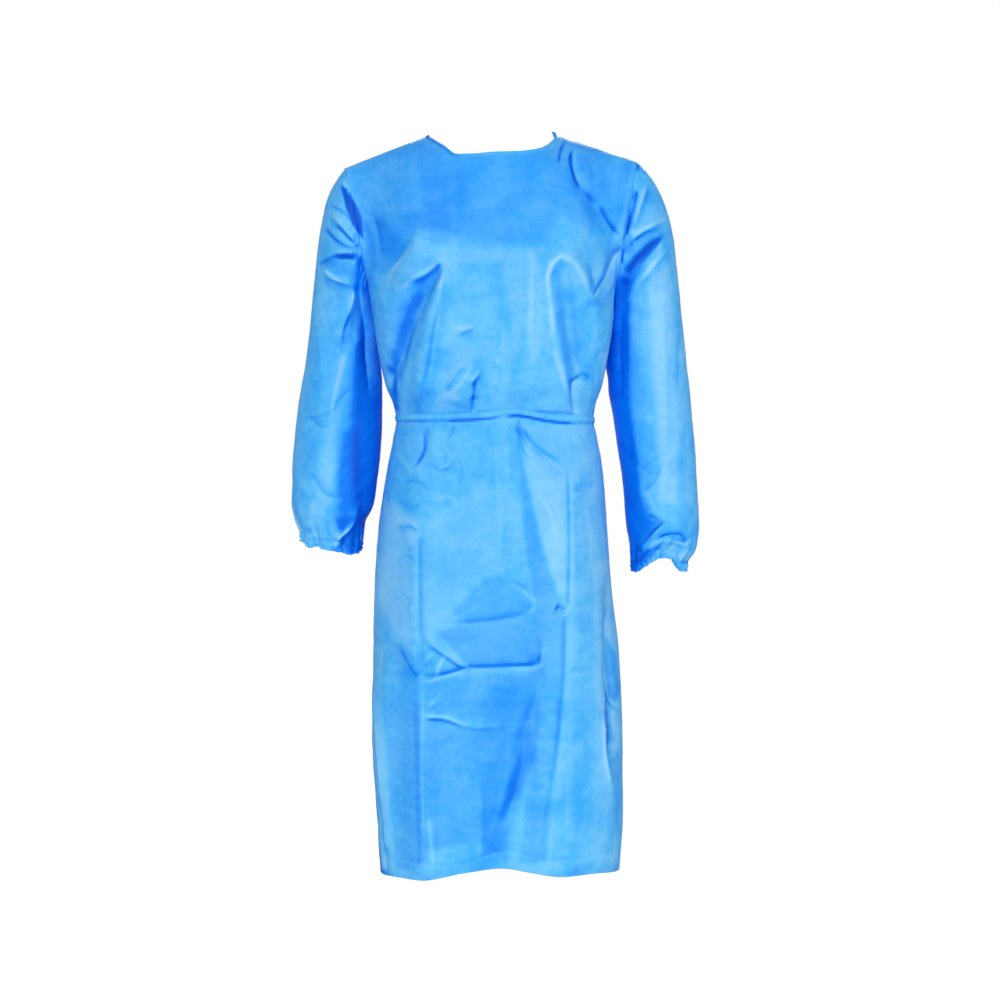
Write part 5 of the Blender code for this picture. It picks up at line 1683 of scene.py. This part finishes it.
def tiePiece(name, node, knotNode, path):
    line = softPath(metres(path), tie["rows"])
    steps = np.linspace(0, len(path) - 1, tie["rows"])
    half = tie["width"] / 2
    start = sum(corner[1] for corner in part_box(knotNode)) / 2 - tie["wall"] / 2
    face = np.array([max(faceBehind(x - half, z), faceBehind(x + half, z)) for x, z in line])
    face += tie["clear"]
    settled = easeIn(steps, 0.0, 1.3)
    reach = face + (start - face[0]) * (1 - settled)
    middles = np.stack([line[:, 0], reach, line[:, 1]], axis=1)
    along = unitOf(np.gradient(middles, axis=0))
    sway = tie["sway"] * np.sin(steps * 2.1)[:, None] * settled[:, None]
    broad = squareTo(along, unitOf(np.array([1.0, 0, 0]) + np.array([0, 1.0, 0]) * sway))
    out = unitOf(np.cross(broad, along))
    out = out * np.sign(out[:, 1:2])
    profile = bandProfile(half, 0.0, tie["wall"], tie["groove"])
    length = round(float(runOf(middles)[-1]), 3)
    own = {
        "flat": (0.010, length),
        "area": round(tie["area"] * length, 6),
        "held": "hung",
        "wrinkle": tie["wrinkle"],
        "seed": 90 + len(name),
    }
    stripPiece(name, node, middles, broad, out, profile, own)


for name, node in knots.items():
    knotPiece(name, node)
for name, (node, knotNode, path) in ties.items():
    tiePiece(name, node, knotNode, path)

# camera, light and floor
camera = bpy.data.cameras.new("camera")
camera.lens = 36 * stand["distance"] / stand["seen"]
camera.clip_end = 60
cameraObject = bpy.data.objects.new("camera", camera)
cameraObject.location = Vector(stand["target"]) + Vector((0, -stand["distance"], 0))
cameraObject.rotation_euler = (math.pi / 2, 0, 0)
bpy.context.scene.collection.objects.link(cameraObject)
bpy.context.scene.camera = cameraObject

studio = {
    "sky": 0.39,
    "lamps": (
        # turn from the front (+ is the wearer's left), height in degrees, strength, softness in degrees
        (-9, 12, 1.68, 16),
        (46, 16, 0.70, 40),
        (176, 20, 1.55, 26),
    ),
    "floorPaint": (0.85, 0.86, 0.87, 1.0),
    "floorGlow": 1.25,  # as the camera sees it, and what share of the paint it covers
    "floorShare": 0.72,
    "floorHalf": 40,
}
world = bpy.data.worlds.new("studio")
bpy.context.scene.world = world
sky = Look(world)
seen = sky.node("LightPath", output="Is Camera Ray")
strength = sky.node("MapRange", None, {0: seen, 3: studio["sky"], 4: 1.0})
around = sky.node("Background", None, {"Color": (1.0, 1.0, 1.0, 1.0), "Strength": strength})
sky.node("OutputWorld", None, {"Surface": around})
for place, (turn, height, strength, soft) in enumerate(studio["lamps"]):
    lamp = bpy.data.lights.new("lamp" + str(place), "SUN")
    lamp.energy = strength
    lamp.angle = math.radians(soft)
    holder = bpy.data.objects.new(lamp.name, lamp)
    turn, height = math.radians(turn), math.radians(height)
    level = math.cos(height)
    away = Vector((math.sin(turn) * level, -math.cos(turn) * level, math.sin(height)))
    holder.rotation_euler = away.to_track_quat("Z", "Y").to_euler()
    bpy.context.scene.collection.objects.link(holder)

floorPaint = bpy.data.materials.new("paleFloor")
floorLook = Look(floorPaint)
paint = floorLook.node("BsdfDiffuse", None, {"Color": studio["floorPaint"]})
bright = floorLook.node("Emission", None, {"Color": (1.0, 1.0, 1.0, 1.0), "Strength": studio["floorGlow"]})
cameraRay = floorLook.node("LightPath", output="Is Camera Ray")
both = floorLook.node("MixShader", None, {0: cameraRay * studio["floorShare"], 1: paint, 2: bright})
floorLook.node("OutputMaterial", None, {"Surface": both})
floorMesh = bpy.data.meshes.new("floor")
wide = studio["floorHalf"]
corners = [(-wide, -wide), (wide, -wide), (wide, wide), (-wide, wide)]
floorMesh.from_pydata([(x, y, stand["floor"]) for x, y in corners], [], [(0, 1, 2, 3)])
floorMesh.materials.append(floorPaint)
floor = bpy.data.objects.new("floor", floorMesh)
bpy.context.scene.collection.objects.link(floor)

bpy.context.scene.view_settings.view_transform = "Standard"
bpy.context.view_layer.update()
